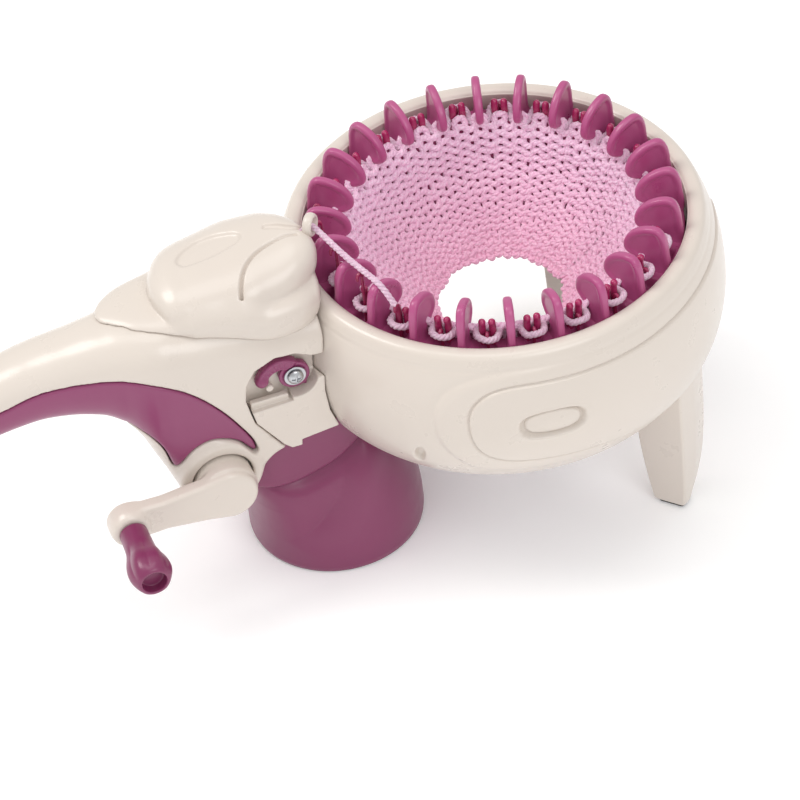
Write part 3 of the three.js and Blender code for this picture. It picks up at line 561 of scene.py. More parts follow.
# (angle about the ring in degrees, z) of the raised panel's edge, the shallow outline round it and the badge
PANEL = [(-117.6, -37.6), (-117.6, -30.3), (-116.6, -24.3), (-114.5, -19.5), (-111.9, -16.4), (-109.0, -14.6), (-105.0, -13.7), (-99.2, -13.6),
         (-92.0, -13.8), (-83.2, -14.0), (-71.0, -13.9), (-57.7, -13.4), (-44.2, -13.0), (-30.0, -13.0), (-14.0, -13.6), (-8.0, -16.0), (-4.0, -24.0), (-4.0, -45.0), (-8.0, -58.0),
         (-20.0, -66.0), (-45.0, -69.5), (-62.0, -69.2), (-71.3, -67.8), (-84.4, -64.4), (-95.5, -62.0), (-103.3, -60.6), (-107.4, -59.4), (-110.9, -57.3), (-113.6, -54.4), (-115.8, -49.8), (-117.0, -44.4)]
OUTLINE = [(-125.9, -33.1), (-125.2, -25.9), (-123.1, -19.4), (-120.4, -15.2), (-117.0, -12.0), (-113.0, -9.8), (-109.0, -8.6), (-103.9, -7.6), (-92.0, -7.0), (-60.0, -6.8),
           (-20.0, -6.8), (10.0, -9.0), (10.0, -72.0), (-60.0, -74.0), (-100.0, -71.0), (-112.0, -69.0), (-117.7, -65.9), (-121.4, -58.9), (-124.0, -51.5), (-125.5, -43.2)]


def ring_housing():
    nth = 1440
    prof = catmull(RING, 10)
    prof = prof[[0] + [i for i in range(1, len(prof)) if np.linalg.norm(prof[i] - prof[i - 1]) > 1e-4]]
    seg = np.r_[0, np.cumsum(np.linalg.norm(np.diff(prof, axis=0), axis=1))]
    m = 330
    u = np.linspace(0, seg[-1], m)
    pr = np.stack([np.interp(u, seg, prof[:, 0]), np.interp(u, seg, prof[:, 1])], 1)
    tg = np.gradient(pr, axis=0)
    nr = np.stack([-tg[:, 1], tg[:, 0]], 1)
    nr /= np.linalg.norm(nr, axis=1)[:, None]
    th = np.arange(nth) / nth * TAU
    deg = (np.degrees(th) + 180) % 360 - 180
    D, Zg = np.meshgrid(deg, pr[:, 1], indexing="ij")
    outer = (pr[:, 0] > 99.5)[None, :]
    arc = np.radians(D) * 107.0
    poly = catmull([(math.radians(a) * 107.0, z) for a, z in PANEL], 6, closed=True)
    d = poly_distance(poly, arc, Zg)
    off = np.zeros_like(D)
    # groove round the raised panel, with a soft step up inside it
    off -= 1.25 * np.exp(-((d / 0.62) ** 2)) * outer
    off += 0.7 * (1 / (1 + np.exp(np.clip(d / 0.5, -30, 30)))) * outer
    # shallow outline further out on the left
    e = poly_distance(catmull([(math.radians(a) * 107.0, z) for a, z in OUTLINE], 6, closed=True), arc, Zg)
    fade = np.clip((-D - 84) / 26, 0, 1) * outer
    off += 1.15 * (1 / (1 + np.exp(np.clip(e / 1.1, -30, 30)))) * fade - 0.3 * np.exp(-(((e - 1.6) / 1.6) ** 2)) * fade
    # badge recess
    ang, zc = math.radians(-97.0) * 107.0, -36.8
    bx, bz = (arc - ang), (Zg - zc)
    rr = ((np.abs(bx) / 15.2) ** 2.6 + (np.abs(bz) / 7.4) ** 2.6) ** (1 / 2.6)
    bd = (rr - 1) * 7.4
    off -= 3.2 * (1 / (1 + np.exp(np.clip(bd / 0.2, -30, 30)))) * outer
    off += 0.25 * np.exp(-(((bd - 1.1) / 0.7) ** 2)) * outer
    # small drain notch near the bottom edge
    nx, nz = arc - math.radians(-132.2) * 107.0, Zg + 61.5
    nd = np.sqrt(((nx - 0.25 * nz) / 2.4) ** 2 + (nz / 5.4) ** 2) - 1
    off -= 3.0 * (1 / (1 + np.exp(np.clip(nd / 0.10, -30, 30)))) * outer
    # soft shoulder line under the rolled rim and a lip above the bottom edge
    off -= 0.22 * np.exp(-(((Zg + 6.4) / 1.2) ** 2)) * (pr[:, 0] > 101)[None, :]
    off -= 0.20 * np.exp(-(((Zg + 79.4) / 0.8) ** 2)) * outer
    R = pr[None, :, 0] + off * nr[None, :, 0]
    Z = pr[None, :, 1] + off * nr[None, :, 1]
    v = np.stack([R * np.cos(th)[:, None], R * np.sin(th)[:, None], Z], -1)
    bag = Bag()
    bag.add(v, grid_faces(nth, m)[:, ::-1])
    # inner wall of the bowl
    inner = np.array([[85.2, -83.0], [86.4, -80.5], [93.6, -74.5], [100.2, -64], [103.4, -53], [104.6, -41], [103.6, -24], [101.6, -14.5], [92.0, -13.0]])
    k = 180
    t2 = np.arange(k) / k * TAU
    vi = np.stack([inner[None, :, 0] * np.cos(t2)[:, None], inner[None, :, 0] * np.sin(t2)[:, None], np.broadcast_to(inner[None, :, 1], (k, len(inner)))], -1)
    bag.add(vi, grid_faces(k, len(inner))[:, ::-1])
    make("bowl", bag.verts(), bag.f, M_CREAM, "frame", ["ring_housing"])
    # badge plate: a slightly crowned oval
    n, mm = 96, 12
    vs, fs = [], []
    for i in range(mm + 1):
        s = i / mm
        for j in range(n):
            a = j / n * TAU
            px = 14.1 * s * math.copysign(abs(math.cos(a)) ** (2 / 2.6), math.cos(a))
            pz = 6.4 * s * math.copysign(abs(math.sin(a)) ** (2 / 2.6), math.sin(a))
            z = -36.8 + pz
            base = np.interp(z, pr[::-1, 1][(pr[::-1, 0] > 99)], pr[::-1, 0][(pr[::-1, 0] > 99)])
            rad = base - 0.45 + 0.3 * (1 - s**2) - (2.2 * ((s - 0.92) / 0.08) ** 2 if s > 0.92 else 0)
            th0 = math.radians(-97.0) + px / 107.0
            vs.append((rad * math.cos(th0), rad * math.sin(th0), z))
    fs = [(i * n + j, (i + 1) * n + j, (i + 1) * n + (j + 1) % n, i * n + (j + 1) % n) for i in range(mm) for j in range(n)]
    make("oval_badge", np.array(vs), fs, M_CREAM, "frame", ["badge_plate"])


def lathe_piece(name, pts, n, material, body, replaces, slot, per=6):
    p = np.array(pts, float)
    v = np.stack([p[None, :, 0] * np.cos(np.arange(n) / n * TAU)[:, None], p[None, :, 0] * np.sin(np.arange(n) / n * TAU)[:, None], np.broadcast_to(p[None, :, 1], (n, len(p)))], -1)
    return make(name, v.reshape(-1, 3), grid_faces(n, len(p), wrap_v=True), material, body, replaces)


# ---------------------------------------------------------------- needle bed
FIN = [[78.2, -9.0], [77.6, -4.6], [72.6, -2.6], [68.7, 0.2], [67.9, 4.2], [69.8, 9.2], [73.8, 13.4], [79.0, 16.1], [84.2, 16.9],
       [87.6, 15.0], [89.5, 10.6], [90.3, 4.0], [90.3, -9.0]]


def fin_mesh():
    h = 0.45
    g = Field((65, -5.0, -11), (93, 5.0, 19.5), h)
    p = catmull(FIN, 6, closed=True)
    f2 = g.poly_xz(p)
    plate = smax(f2 + 0.3, np.abs(g.y) - (1.0 + 0.35 * np.clip((g.z + 10) / 20, 0, 1) + 3.0 * np.exp(-(g.z + 9.5) / 2.4)), 0.8)
    rim = np.sqrt((f2 + 1.7) ** 2 + (g.y / (1.05 + 0.2 * np.clip(g.z / 12, -1, 1))) ** 2) - 1.7
    f = smin(plate, rim, 1.2)
    f = np.maximum(f, -9.6 - g.z + 0 * f2)
    return g.mesh(f)


def gear_ring(teeth, m, z0, z1, inner, phase=0.0, rw=0.56, tw=0.22):
    r = teeth * m / 2
    rr, rt = r - 1.05 * m, r + 0.75 * m
    pitch = TAU / teeth
    out = []
    for k in range(teeth):
        a = phase + k * pitch
        for rad, off in ((rr, -rw / 2), (rt, -tw / 2), (rt, tw / 2), (rr, rw / 2)):
            out.append((rad * math.cos(a + off * pitch), rad * math.sin(a + off * pitch)))
    o = np.array(out)
    ang = np.arctan2(o[:, 1], o[:, 0])
    i = np.stack([inner * np.cos(ang), inner * np.sin(ang)], 1)
    n = len(o)
    v = np.concatenate([np.c_[o, np.full(n, z0)], np.c_[o, np.full(n, z1)], np.c_[i, np.full(n, z1)], np.c_[i, np.full(n, z0)]])
    f = []
    for j in range(n):
        k = (j + 1) % n
        for a, b in ((0, 1), (1, 2), (2, 3), (3, 0)):
            f.append((a * n + j, a * n + k, b * n + k, b * n + j))
    return v, f


def needle_bed():
    bag = Bag()
    fv, ff, fn = fin_mesh()
    norms = []

    def put(v, f, n):
        bag.add(v, f)
        norms.append(n)

    for k in range(NEEDLES):
        a = k / NEEDLES * TAU
        put(rot_z(fv, a), ff, rot_z(fn, a))
    # peg pairs with domed tops, leaning a little outwards
    g = Field((76.2, -4.6, -10), (83.6, 4.6, 7.4), 0.3)
    pegs = None
    for side in (-1, 1):
        ln = g.chain([(79.4, side * 2.45, -9.5), (79.4, side * 2.4, 2.0), (80.0, side * 2.3, 4.2)], 1.75)
        pegs = ln if pegs is None else np.minimum(pegs, ln)
    pegs = np.maximum(pegs, -9.4 - g.z)
    pv, pf, pn = g.mesh(pegs)
    pegbag, pnorm = Bag(), []
    for k in range(NEEDLES):
        a = (k + 0.5) / NEEDLES * TAU
        pegbag.add(rot_z(pv, a), pf)
        pnorm.append(rot_z(pn, a))
    # deck with a well round every needle, wall and lip, as one turned skin with pockets
    nth, prof = 960, np.array([
        [77.4, -60.5], [77.3, -30], [77.2, -10.6], [77.6, -8.6], [78.6, -8.0], [81.0, -8.0], [84.0, -8.0], [87.0, -8.0], [89.0, -8.0],
        [90.2, -8.4], [90.6, -9.4], [90.6, -12.0], [89.6, -12.8], [86, -13.6], [84.6, -14.4], [84.5, -30], [84.5, -51.8], [83.6, -60.5]])
    u = np.r_[0, np.cumsum(np.linalg.norm(np.diff(prof, axis=0), axis=1))]
    q = np.unique(np.r_[np.linspace(0, u[-1], 60), np.linspace(u[2], u[11], 60)])
    pr = np.stack([np.interp(q, u, prof[:, 0]), np.interp(q, u, prof[:, 1])], 1)
    th = np.arange(nth) / nth * TAU
    local = (th / TAU * NEEDLES) % 1 - 0.5
    lat = local * TAU / NEEDLES * 84
    well = np.exp(-np.clip(np.abs(lat) / 3.4, 0, 9) ** 6)[:, None] * np.exp(-((np.clip(np.abs(pr[:, 0] - 84.4) / 3.6, 0, 9)) ** 6))[None, :] * (pr[:, 1] > -9)[None, :]
    Z = pr[None, :, 1] - 5.0 * well
    R = np.broadcast_to(pr[None, :, 0], Z.shape)
    v = np.stack([R * np.cos(th)[:, None], R * np.sin(th)[:, None], Z], -1).reshape(-1, 3)
    fa = grid_faces(nth, len(pr), wrap_v=True)[:, ::-1]
    me_n = None
    bag2 = Bag()
    bag2.add(v, fa)
    gv, gf = gear_ring(58, 3, -61.6, -52.4, 80)
    ob = make("bed_fins_and_pegs", bag.verts(), bag.f, M_BED, "bed", ["needle_bed"], normals=np.concatenate(norms))
    make("peg_pairs", pegbag.verts(), pegbag.f, M_PEG, "bed", ["needle_bed"], normals=np.concatenate(pnorm))
    make("bed_deck", bag2.verts(), bag2.f, M_BED, "bed", ["needle_bed"])
    make("bed_gear", gv, gf, M_BED, "bed", ["needle_bed"], smooth=False)
    return ob


RAISED = {10: 9.0, 11: 17.0, 12: 18.0, 13: 17.0, 14: 9.0}
NEEDLE = [[81.4, -46.0], [83.3, -46.0], [83.3, -41.0], [89.3, -41.0], [89.3, -36.0], [83.3, -36.0], [83.1, -20], [83.0, -1.9], [83.3, -0.9], [83.9, -0.7],
          [84.5, -1.4], [84.6, -3.2], [85.7, -3.2], [85.8, -1.0], [85.1, 0.7], [83.9, 1.3], [82.5, 0.8], [81.7, -0.6], [81.4, -20]]


def needles():
    g = Field((80, -2.2, -47.5), (91, 2.2, 6), 0.3)
    f2 = g.poly_xz(np.array(NEEDLE)) + 0.45
    f = smax(f2 - 0.45, np.abs(g.y) - 0.85, 0.7)
    v, fc, n = g.mesh(f)
    for k in range(NEEDLES):
        a = (k + 0.5) / NEEDLES * TAU
        w = rot_z(v, a)
        w[:, 2] += RAISED.get(k, 0.0)
        name = f"needle_{k + 1:02d}"
        make("hook_" + name, w, fc, M_NEEDLE, name, [name], normals=rot_z(n, a))


# ---------------------------------------------------------------- knitted tube
KNIT = np.array([[77.6, -1.5], [74.6, -4.0], [71.9, -7.2], [70.3, -11.8], [68.9, -17.4], [66.1, -24.0], [61.6, -30.2], [56.1, -36.0], [50.1, -41.2], [43.6, -46.0], [37.0, -50.4], [31.0, -54.4]])


def plied(path, r, sides=7, plies=3, pitch=6.0, phase=0.0, closed=False):
    """Yarn as plies twisted about a path; gives one bag of tubes."""
    seg = np.r_[0, np.cumsum(np.linalg.norm(np.diff(path, axis=0), axis=1))]
    t = np.gradient(path, axis=0)
    t /= np.linalg.norm(t, axis=1)[:, None] + 1e-9
    side = np.cross(t, [0, 0, 1.0])
    side /= np.linalg.norm(side, axis=1)[:, None] + 1e-9
    up = np.cross(side, t)
    out = []
    for k in range(plies):
        ph = seg / pitch * TAU + k / plies * TAU + phase
        p = path + 0.52 * r * (np.cos(ph)[:, None] * side + np.sin(ph)[:, None] * up)
        out.append(tube(p, 0.6 * r, sides, closed=closed))
    return out


def knit_tube():
    prof = catmull(KNIT, 12)
    seg = np.r_[0, np.cumsum(np.linalg.norm(np.diff(prof, axis=0), axis=1))]
    total = seg[-1]
    nrm = np.gradient(prof, axis=0)
    nrm = np.stack([nrm[:, 1], -nrm[:, 0]], 1)
    nrm /= np.linalg.norm(nrm, axis=1)[:, None]  # points inwards, to the axis and up

    def at(s):
        return [np.interp(s, seg, c) for c in (prof[:, 0], prof[:, 1], nrm[:, 0], nrm[:, 1])]

    # courses: rows of interlocked loops, one wale for each needle, purl side inwards
    wales, steps = 2 * NEEDLES, 22
    n = wales * steps
    t = np.arange(n) / steps
    ph = t * TAU
    bag = Bag()
    s0, i = 3.2, 0
    while s0 < total - 2.0:
        k = s0 / total
        row_h = 4.5 - 1.2 * k
        rad = 1.52 - 0.32 * k
        amp = row_h * 0.5 + rad * (0.72 - 0.05 * k)
        wob = np.interp((t * 3.3) % (wales * 3.3), np.arange(161), np.r_[rng.uniform(-1, 1, 160), 0][:161])
        s = s0 + amp * (1 + 0.2 * wob) * np.cos(ph + 0.45 * wob) + 0.55 * wob
        s = np.clip(s, 0.2, total)
        r, z, nr, nz = at(s)
        swing = 0.115 * np.sin(2 * ph) + 0.012 * wob
        off = 0.8 * rad * np.cos(2 * ph) * 0.5 + 0.2
        R, Z = r + off * nr, z + off * nz
        th = (t + 0.5 + swing) / wales * TAU
        path = np.stack([R * np.cos(th), R * np.sin(th), Z], 1)
        for v, f in plied(path, rad * 1.08, 7, 3, 6.5, phase=s0, closed=True):
            bag.add(v, f)
        s0 += row_h
        i += 1
    courses = make("knit_courses", bag.verts(), bag.f, M_YARN, "bed", ["knit_tube"])
    # a dark sheet behind the loops: painted shade seen through the gaps between them
    u = np.linspace(0, total - 3.0, 70)
    r, z, nr, nz = at(u)
    k = 240
    th = np.arange(k) / k * TAU
    R, Z = r - 1.3 * nr, z - 1.3 * nz
    lo = np.stack([R[None] * np.cos(th)[:, None], R[None] * np.sin(th)[:, None], np.broadcast_to(Z[None], (k, len(u)))], -1)
    back = make("knit_shade_sheet", lo.reshape(-1, 3), grid_faces(k, len(u)), M_YARN_SHADE, "bed", ["knit_tube"])
    # the last course: a plied loop held round the outside of every peg pair
    bag = Bag()
    for k in range(NEEDLES):
        a = (k + 0.5) / NEEDLES * TAU
        j = rng.uniform(-1, 1, 4)
        pts = [(74.0, -7.8, -6.0), (75.8, -6.2, -4.4), (78.0, -5.4, -3.0 + 0.4 * j[0]), (81.4, -5.1, -2.2), (84.6, -3.8, -1.7 + 0.5 * j[1]), (86.0, 0, -1.5 + 0.5 * j[2]),
               (84.6, 3.8, -1.7 + 0.5 * j[3]), (81.4, 5.1, -2.2), (78.0, 5.4, -3.0), (75.8, 6.2, -4.4), (74.0, 7.8, -6.0)]
        path = rot_z(catmull(pts, 6), a)
        for v, f in plied(path, 1.55, 8, 3, 6.0, phase=j[0]):
            bag.add(v, f)
    loops = make("peg_loops", bag.verts(), bag.f, M_YARN_PALE, "bed", ["knit_tube"])


# ---------------------------------------------------------------- arm and pod
ARM = [
    [-86, 0, 37, 0, -70, 4], [-104, 0, 38, 1, -71, 4], [-125, 0, 39, 3, -76, 4], [-140, 0, 39, 6.5, -85.5, 4],
    [-155, -0.5, 38.5, 9, -97.5, 4], [-168, -2.4, 36.2, 10.5, -96, 3.8], [-178, -5.7, 31.8, 11, -81, 3.4], [-184, -6.1, 29.9, 11, -66.5, 3],
    [-189, -6.2, 27.8, 10.8, -53.5, 2.7], [-196, -6.8, 23.7, 9.6, -42.8, 2.5], [-206, -5.4, 21.1, 7.4, -37, 2.4], [-220, -2.9, 19.7, 4, -34.5, 2.3],
    [-236, -1.2, 18.8, 0.6, -34.2, 2.2], [-254, -1.2, 17.2, -3.6, -36.8, 2.2], [-272, -1.3, 16.3, -7.2, -40.4, 2.2], [-286, -1.4, 15.4, -10.6, -42.8, 2.2],
    [-292, -1.4, 13.6, -13.6, -41.6, 2.2], [-297, -1.4, 9.6, -18, -38, 2.2], [-299.6, -1.4, 0.5, -26.5, -27.5, 2.2],
]
GRIP_EDGE = [
    [-305, -27], [-288, -25], [-270, -20], [-252.5, -15.7], [-232.6, -10.2], [-204.7, -7.7], [-192, -8], [-183, -10.4], [-172, -15.6],
    [-161.8, -24.3], [-152.5, -36], [-145.1, -48.5], [-140.4, -58], [-138.6, -65], [-140, -66.4], [-142.4, -63.4], [-146.4, -57.6],
    [-151.4, -53.9], [-158, -51.6], [-164, -52.2], [-170, -55.4], [-174.6, -60.6], [-177.6, -64.4], [-179.4, -62], [-181.4, -53.6],
    [-184.6, -46.6], [-189.5, -41.5], [-195.4, -38], [-195.4, -60], [-305, -60],
]
WEB = [[-157, -62], [-140, -60], [-122, -62], [-114.6, -67.6], [-117.6, -68.9], [-126.3, -70.2], [-132.1, -73.2], [-137.3, -78.8], [-141.1, -85.1], [-144, -89], [-151, -91], [-157, -86]]
HUB_Z = -74.6
WINDOW = [
    [-138.8, -43.5], [-140.6, -34], [-139.4, -25], [-134.4, -17.4], [-124, -13.6], [-114, -14.6], [-106, -18.6], [-86, -20.6],
    [-86, -64.9], [-116.8, -68.2], [-117, -71.6], [-122, -71.6], [-126, -67.8], [-137.6, -49.4],
]
NECK_PLATE = [
    [-138.4, -42.2], [-118, -41.6], [-118.4, -35.4], [-113, -31.6], [-92, -31.6], [-86, -31.6], [-86, -64.2], [-116.3, -67.6],
    [-116.5, -71], [-121.6, -71], [-125.4, -67.4], [-137, -49.4],
]
SKIRT = [
    [-197.6, -1, 0.6, 10.4, 7, 2.2], [-196.6, -1, 5.4, 11.2, 5, 2.2], [-193, -1.4, 11.4, 12, 2, 2.4], [-188, -2, 16.2, 12.8, 0, 2.5], [-182, -2.5, 19.6, 13.4, -1, 2.6],
    [-168.6, -3, 23.2, 14.4, -3, 2.8], [-155, -3, 25.8, 15.2, -5, 2.8], [-141.7, -2.5, 29.4, 16, -8, 2.8], [-132, -2, 32.4, 16.8, -10, 2.8],
    [-120, -2, 34.6, 17.2, -12, 2.7], [-108, -3, 32.2, 17, -12, 2.6], [-99, -4, 26.8, 16.6, -9, 2.4], [-95, -5, 20.4, 15, -3, 2.3], [-93, -5, 2, 8, 2, 2.3],
]
DOME = [
    [-171.8, -5, 0.6, 15.6, 12, 2.2], [-171, -5, 7.4, 18.4, 8, 2.2], [-168.6, -5.2, 14.6, 21.4, 4, 2.2], [-163.5, -3.2, 21.2, 24, 2, 2.25], [-155, -0.8, 26.2, 25.4, -2, 2.3],
    [-142, -0.2, 28.8, 26.8, -4, 2.3], [-128, 0.0, 30.6, 28.6, -4, 2.3], [-119.5, 0.2, 29.4, 29.5, -4, 2.25], [-111.6, 0, 28.0, 30.2, -3, 2.2], [-105, -1.4, 24.4, 31, -1, 2.2],
    [-99, -3.4, 19.2, 30.8, 3, 2.2], [-95, -5.4, 13.8, 29.4, 8, 2.2], [-92.2, -7.4, 7.4, 26.6, 13, 2.2], [-90.8, -8.4, 0.8, 22, 18, 2.2],
]
OVAL = [(-154.8, 3.4), (-152.6, 7.3), (-148.2, 10.5), (-141.4, 13.0), (-134.9, 12.8), (-128.4, 10.4), (-124.0, 7.8), (-122.6, 4.6), (-124.5, 1.8), (-129.0, -0.1), (-136.9, -1.4),
        (-144.4, -1.9), (-149.4, -1.7), (-153.2, -0.6)]
SLIT = [(-133.2, -27.5, 21.7), (-131.7, -23.6, 24.2), (-129.4, -19.3, 26.0), (-126.9, -15.8, 27.2), (-123.2, -12.4, 28.1), (-118.3, -9.5, 28.8),
        (-112.7, -7.7, 29.6), (-106.4, -6.7, 30.5), (-101.5, -6.9, 30.7), (-98.3, -7.6, 30.4)]
TROUGH = [(-110.3, 4.1, 31.6), (-106.0, 1.9, 31.9), (-101.9, -0.8, 31.9), (-98.5, -2.3, 31.4), (-95.5, -3.2, 30.2), (-93.0, -4.0, 28.0)]
RING_CUT = [[0, 3], [100.2, 3], [103.8, -7], [107.8, -24], [108.9, -41], [107.8, -54], [104.4, -66], [97.9, -76], [88.9, -84.4], [85.2, -88], [0, -88]]


def arm():
    h = 0.8
    g = Field((-302.5, -46, -101), (-82, 40.6, 16), h)
    body = g.loft_x(ARM)
    grip2 = g.poly_xz(catmull(GRIP_EDGE[:-2], 4).tolist() + GRIP_EDGE[-2:])
    ringf = g.revolve(RING_CUT)
    hub = smax(g.cyl_y(DRIVE_X, HUB_Z, 20.4), -41.2 - g.y, 3.0)
    hub = np.maximum(hub, g.y + 20)
    web = smax(g.poly_xz(catmull(WEB, 5, closed=True)), np.abs(g.y + 30.0) - 9.4, 2.4)
    shell = smin(smin(body, hub, 3.0), web, 2.0)
    recess = smax(g.cyl_y(DRIVE_X, CRANK_Z, 15.1), g.y + 35.0, 1.0)
    bore = np.maximum(g.cyl_y(DRIVE_X, CRANK_Z, 9.3), g.y + 25)
    shell = smax(shell, -recess, 1.6)
    shell = np.maximum(shell, -bore)
    shell = smax(shell, -grip2 + 0.3, 0.9)
    win = smax(g.poly_xz(WINDOW), g.y + 28.0, 0.8)
    shell = smax(shell, -win, 1.0)
    shell = smax(shell, 0.3 - ringf, 0.9)
    front = smax(shell, g.y - 13.85, 0.7)
    rear = smax(shell, 14.15 - g.y, 0.7)
    for x, z in ((-122, -30), (-152, -21)):
        rear = smax(rear, -np.maximum(g.cyl_y(x, z, 4.9), 35.8 - g.y), 0.8)
    grip = smax(body + 0.15, grip2 + 0.25, 0.9)
    v, f, n = g.mesh(front)
    make("arm_front", v, f, M_CREAM, "frame", ["arm_housing"], normals=n)
    v, f, n = g.mesh(rear)
    make("arm_rear", v, f, M_CREAM, "frame", ["arm_rear_cover"], normals=n)
    v, f, n = g.mesh(grip)
    make("grip", v, f, M_PURPLE, "frame", ["grip_insert"], normals=n)


def pod():
    h = 0.5
    g = Field((-203, -47, -14), (-86, 41, 36), h)
    dome = g.loft_x(DOME, even=False)
    skirt = g.loft_x(SKIRT, even=False)
    soft = np.clip((-112 - g.x) / 22, 0.12, 1) * np.clip((g.x + 172) / 14, 0.08, 1) * 5.0
    f = smin(dome, skirt, soft)
    body = g.loft_x(ARM)
    f = smax(f, -body + 0.25, 1.0)
    ringf = g.revolve(RING_CUT)
    f = smax(f, 0.4 - ringf, 1.0)
    sweep = g.revolve([[0, 18.6], [91.8, 18.6], [91.8, -14], [0, -14]])
    f = smax(f, -sweep, 1.6)
    # shallow oval recess on the crown, the curved slit and the trough that leads to the eyelet
    oval = poly_distance(catmull(OVAL, 5, closed=True), *np.meshgrid(g.x.ravel(), g.y.ravel(), indexing="ij")).astype(np.float32)[:, :, None]
    f = f + np.where(g.z > 15, 1.7 / (1 + np.exp(np.clip(oval / 0.45, -30, 30))), 0)
    line = catmull([(x, y) for x, y, _ in SLIT], 6)
    way = np.gradient(line, axis=0)
    way /= np.linalg.norm(way, axis=1)[:, None]
    side = np.stack([-way[:, 1], way[:, 0]], 1) * np.linspace(0.62, 0.45, len(line))[:, None]
    slit = poly_distance(np.concatenate([line + side, (line - side)[::-1]]), *np.meshgrid(g.x.ravel(), g.y.ravel(), indexing="ij")).astype(np.float32)[:, :, None]
    f = f + np.where(g.z > 6, 1.9 / (1 + np.exp(np.clip(slit / 0.2, -30, 30))), 0)
    f = smax(f, -g.chain(catmull([(x, y, z - 0.7) for x, y, z in TROUGH], 6), 1.9), 0.45)
    v, fc, n = g.mesh(f)
    make("pod", v, fc, M_CREAM, "frame", ["pod_cover"], normals=n)


def neck():
    h = 0.35
    g = Field((-143, -44, -74), (-86, -24, -11), h)
    plate = smax(g.poly_xz(NECK_PLATE), np.abs(g.y + 34.2) - 5.0, 0.9)
    back = smax(g.poly_xz([[-142, -46], [-142, -14.5], [-86, -14.5], [-86, -46]]), np.abs(g.y + 29.4) - 1.0, 0.5)
    f = smin(plate, back, 0.8)
    shelf = smax(g.poly_xz([[-138.2, -42.6], [-138.2, -38.4], [-119.4, -38.4], [-119.4, -42.6]]), np.abs(g.y + 34.8) - 1.5, 0.5)
    f = smin(f, shelf, 0.5)
    f = smax(f, -np.maximum(g.cyl_y(-115, -29.4, 10.4), g.y + 31.2), 0.8)
    stud = smax(g.cyl_y(-127.4, -34.6, 1.9), np.abs(g.y + 32.4) - 1.6, 0.5)
    f = smin(f, stud, 0.5)
    ringf = g.revolve(RING_CUT)
    f = smax(f, 0.35 - ringf, 0.8)
    v, fc, n = g.mesh(f)
    make("neck", v, fc, M_CREAM, "frame", ["neck_bracket"], normals=n)


def lever():
    h = 0.22
    g = Field((-138, -40, -42), (-104, -25, -12), h)
    outer, inner = [], []
    for i in range(17):
        t = i / 16
        a = math.radians(48 + 122 * t)
        w = 6.4 - 1.2 * t
        outer.append((-121.4 + 12.3 * math.cos(a), -30.2 + 12.3 * math.sin(a)))
        inner.append((-121.4 + (12.3 - w) * math.cos(a), -30.2 + (12.3 - w) * math.sin(a)))
    blade = smax(g.poly_xz(outer + inner[::-1]), np.abs(g.y + 33.4) - 2.1, 0.9)
    lip = smax(np.abs(g.poly_xz(outer + inner[::-1]) + 0.9) - 0.5, np.abs(g.y + 34.6) - 1.3, 0.5)
    f = smin(blade, lip, 0.5)
    boss = smax(g.cyl_y(-115, -29.4, 7.6), np.abs(g.y + 33.3) - 1.8, 0.8)
    f = smin(f, boss, 1.0)
    tail = smax(g.poly_xz([[-115, -36], [-109.6, -37.6], [-107.8, -31.4], [-109.4, -24.2], [-117, -22.4]]), np.abs(g.y + 32.9) - 1.5, 0.8)
    f = smin(f, tail, 0.8)
    tip = g.chain([(-130.9, -33.2, -28.4), (-130.9, -33.9, -28.4)], 3.3)
    f = smin(f, tip, 1.0)
    for i in range(5):
        a = math.radians(80 + 15 * i)
        c, s = math.cos(a), math.sin(a)
        p0, p1 = (-121.4 + 8.2 * c, -35.2, -30.2 + 8.2 * s), (-121.4 + 11.0 * c, -35.2, -30.2 + 11.0 * s)
        f = smin(f, g.chain([p0, p1], 0.65), 0.35)
    f = smax(f, -g.cyl_y(-115, -29.4, 1.9), 0.2)
    f = smax(f, -smax(g.cyl_y(-115, -29.4, 6.0), g.y + 34.9, 0.3), 0.3)
    v, fc, n = g.mesh(f)
    make("lever", v, fc, M_PURPLE, "lever", ["mode_lever"], normals=n)
    # washer and cross-head screw
    g = Field((-121.5, -41, -36), (-108.5, -34, -23), 0.16)
    r = g.cyl_y(-115, -29.4, 0)
    washer = smax(smax(r - 5.4, np.abs(g.y + 35.75) - 0.45, 0.3), 1.9 - r, 0.2)
    v, fc, n = g.mesh(washer)
    make("washer", v, fc, M_STEEL, "lever", ["lever_washer"], normals=n)
    dome = np.sqrt((g.x + 115) ** 2 + (g.z + 29.4) ** 2 + (g.y + 33.2) ** 2) - 5.6
    head = smax(smax(r - 3.9, dome, 0.4), g.y + 36.5, 0.3)
    for dx, dz in ((1, 0), (0, 1)):
        bar = np.maximum(np.maximum(np.abs((g.x + 115) * dx + (g.z + 29.4) * dz) - 2.3, np.abs((g.x + 115) * dz + (g.z + 29.4) * dx) - 0.5), g.y + 37.5)
        head = smax(head, -bar, 0.2)
    v, fc, n = g.mesh(head)
    make("screw_head", v, fc, M_STEEL, "frame", ["lever_screw"], normals=n)


def eyelet():
    g = Field((-98, -11, 21), (-83, 5, 38), 0.25)
    c = np.array([-90.6, -3.0, 29.6])
    a = math.radians(-38)
    # the ring's plane holds z and a line turned from Y
    ux, uy = -math.sin(a), math.cos(a)
    along = (g.x - c[0]) * ux + (g.y - c[1]) * uy
    out = (g.x - c[0]) * uy - (g.y - c[1]) * ux
    zz = g.z - c[2]
    rr = np.sqrt(along**2 + zz**2)
    ring = np.sqrt(((rr - 4.6) / 1.25) ** 2 + (out / 2.3) ** 2) - 1
    f = g.unit(ring * 1.25)
    v, fc, n = g.mesh(f)
    make("eyelet_ring", v, fc, M_CREAM, "frame", ["yarn_eyelet"], normals=n)


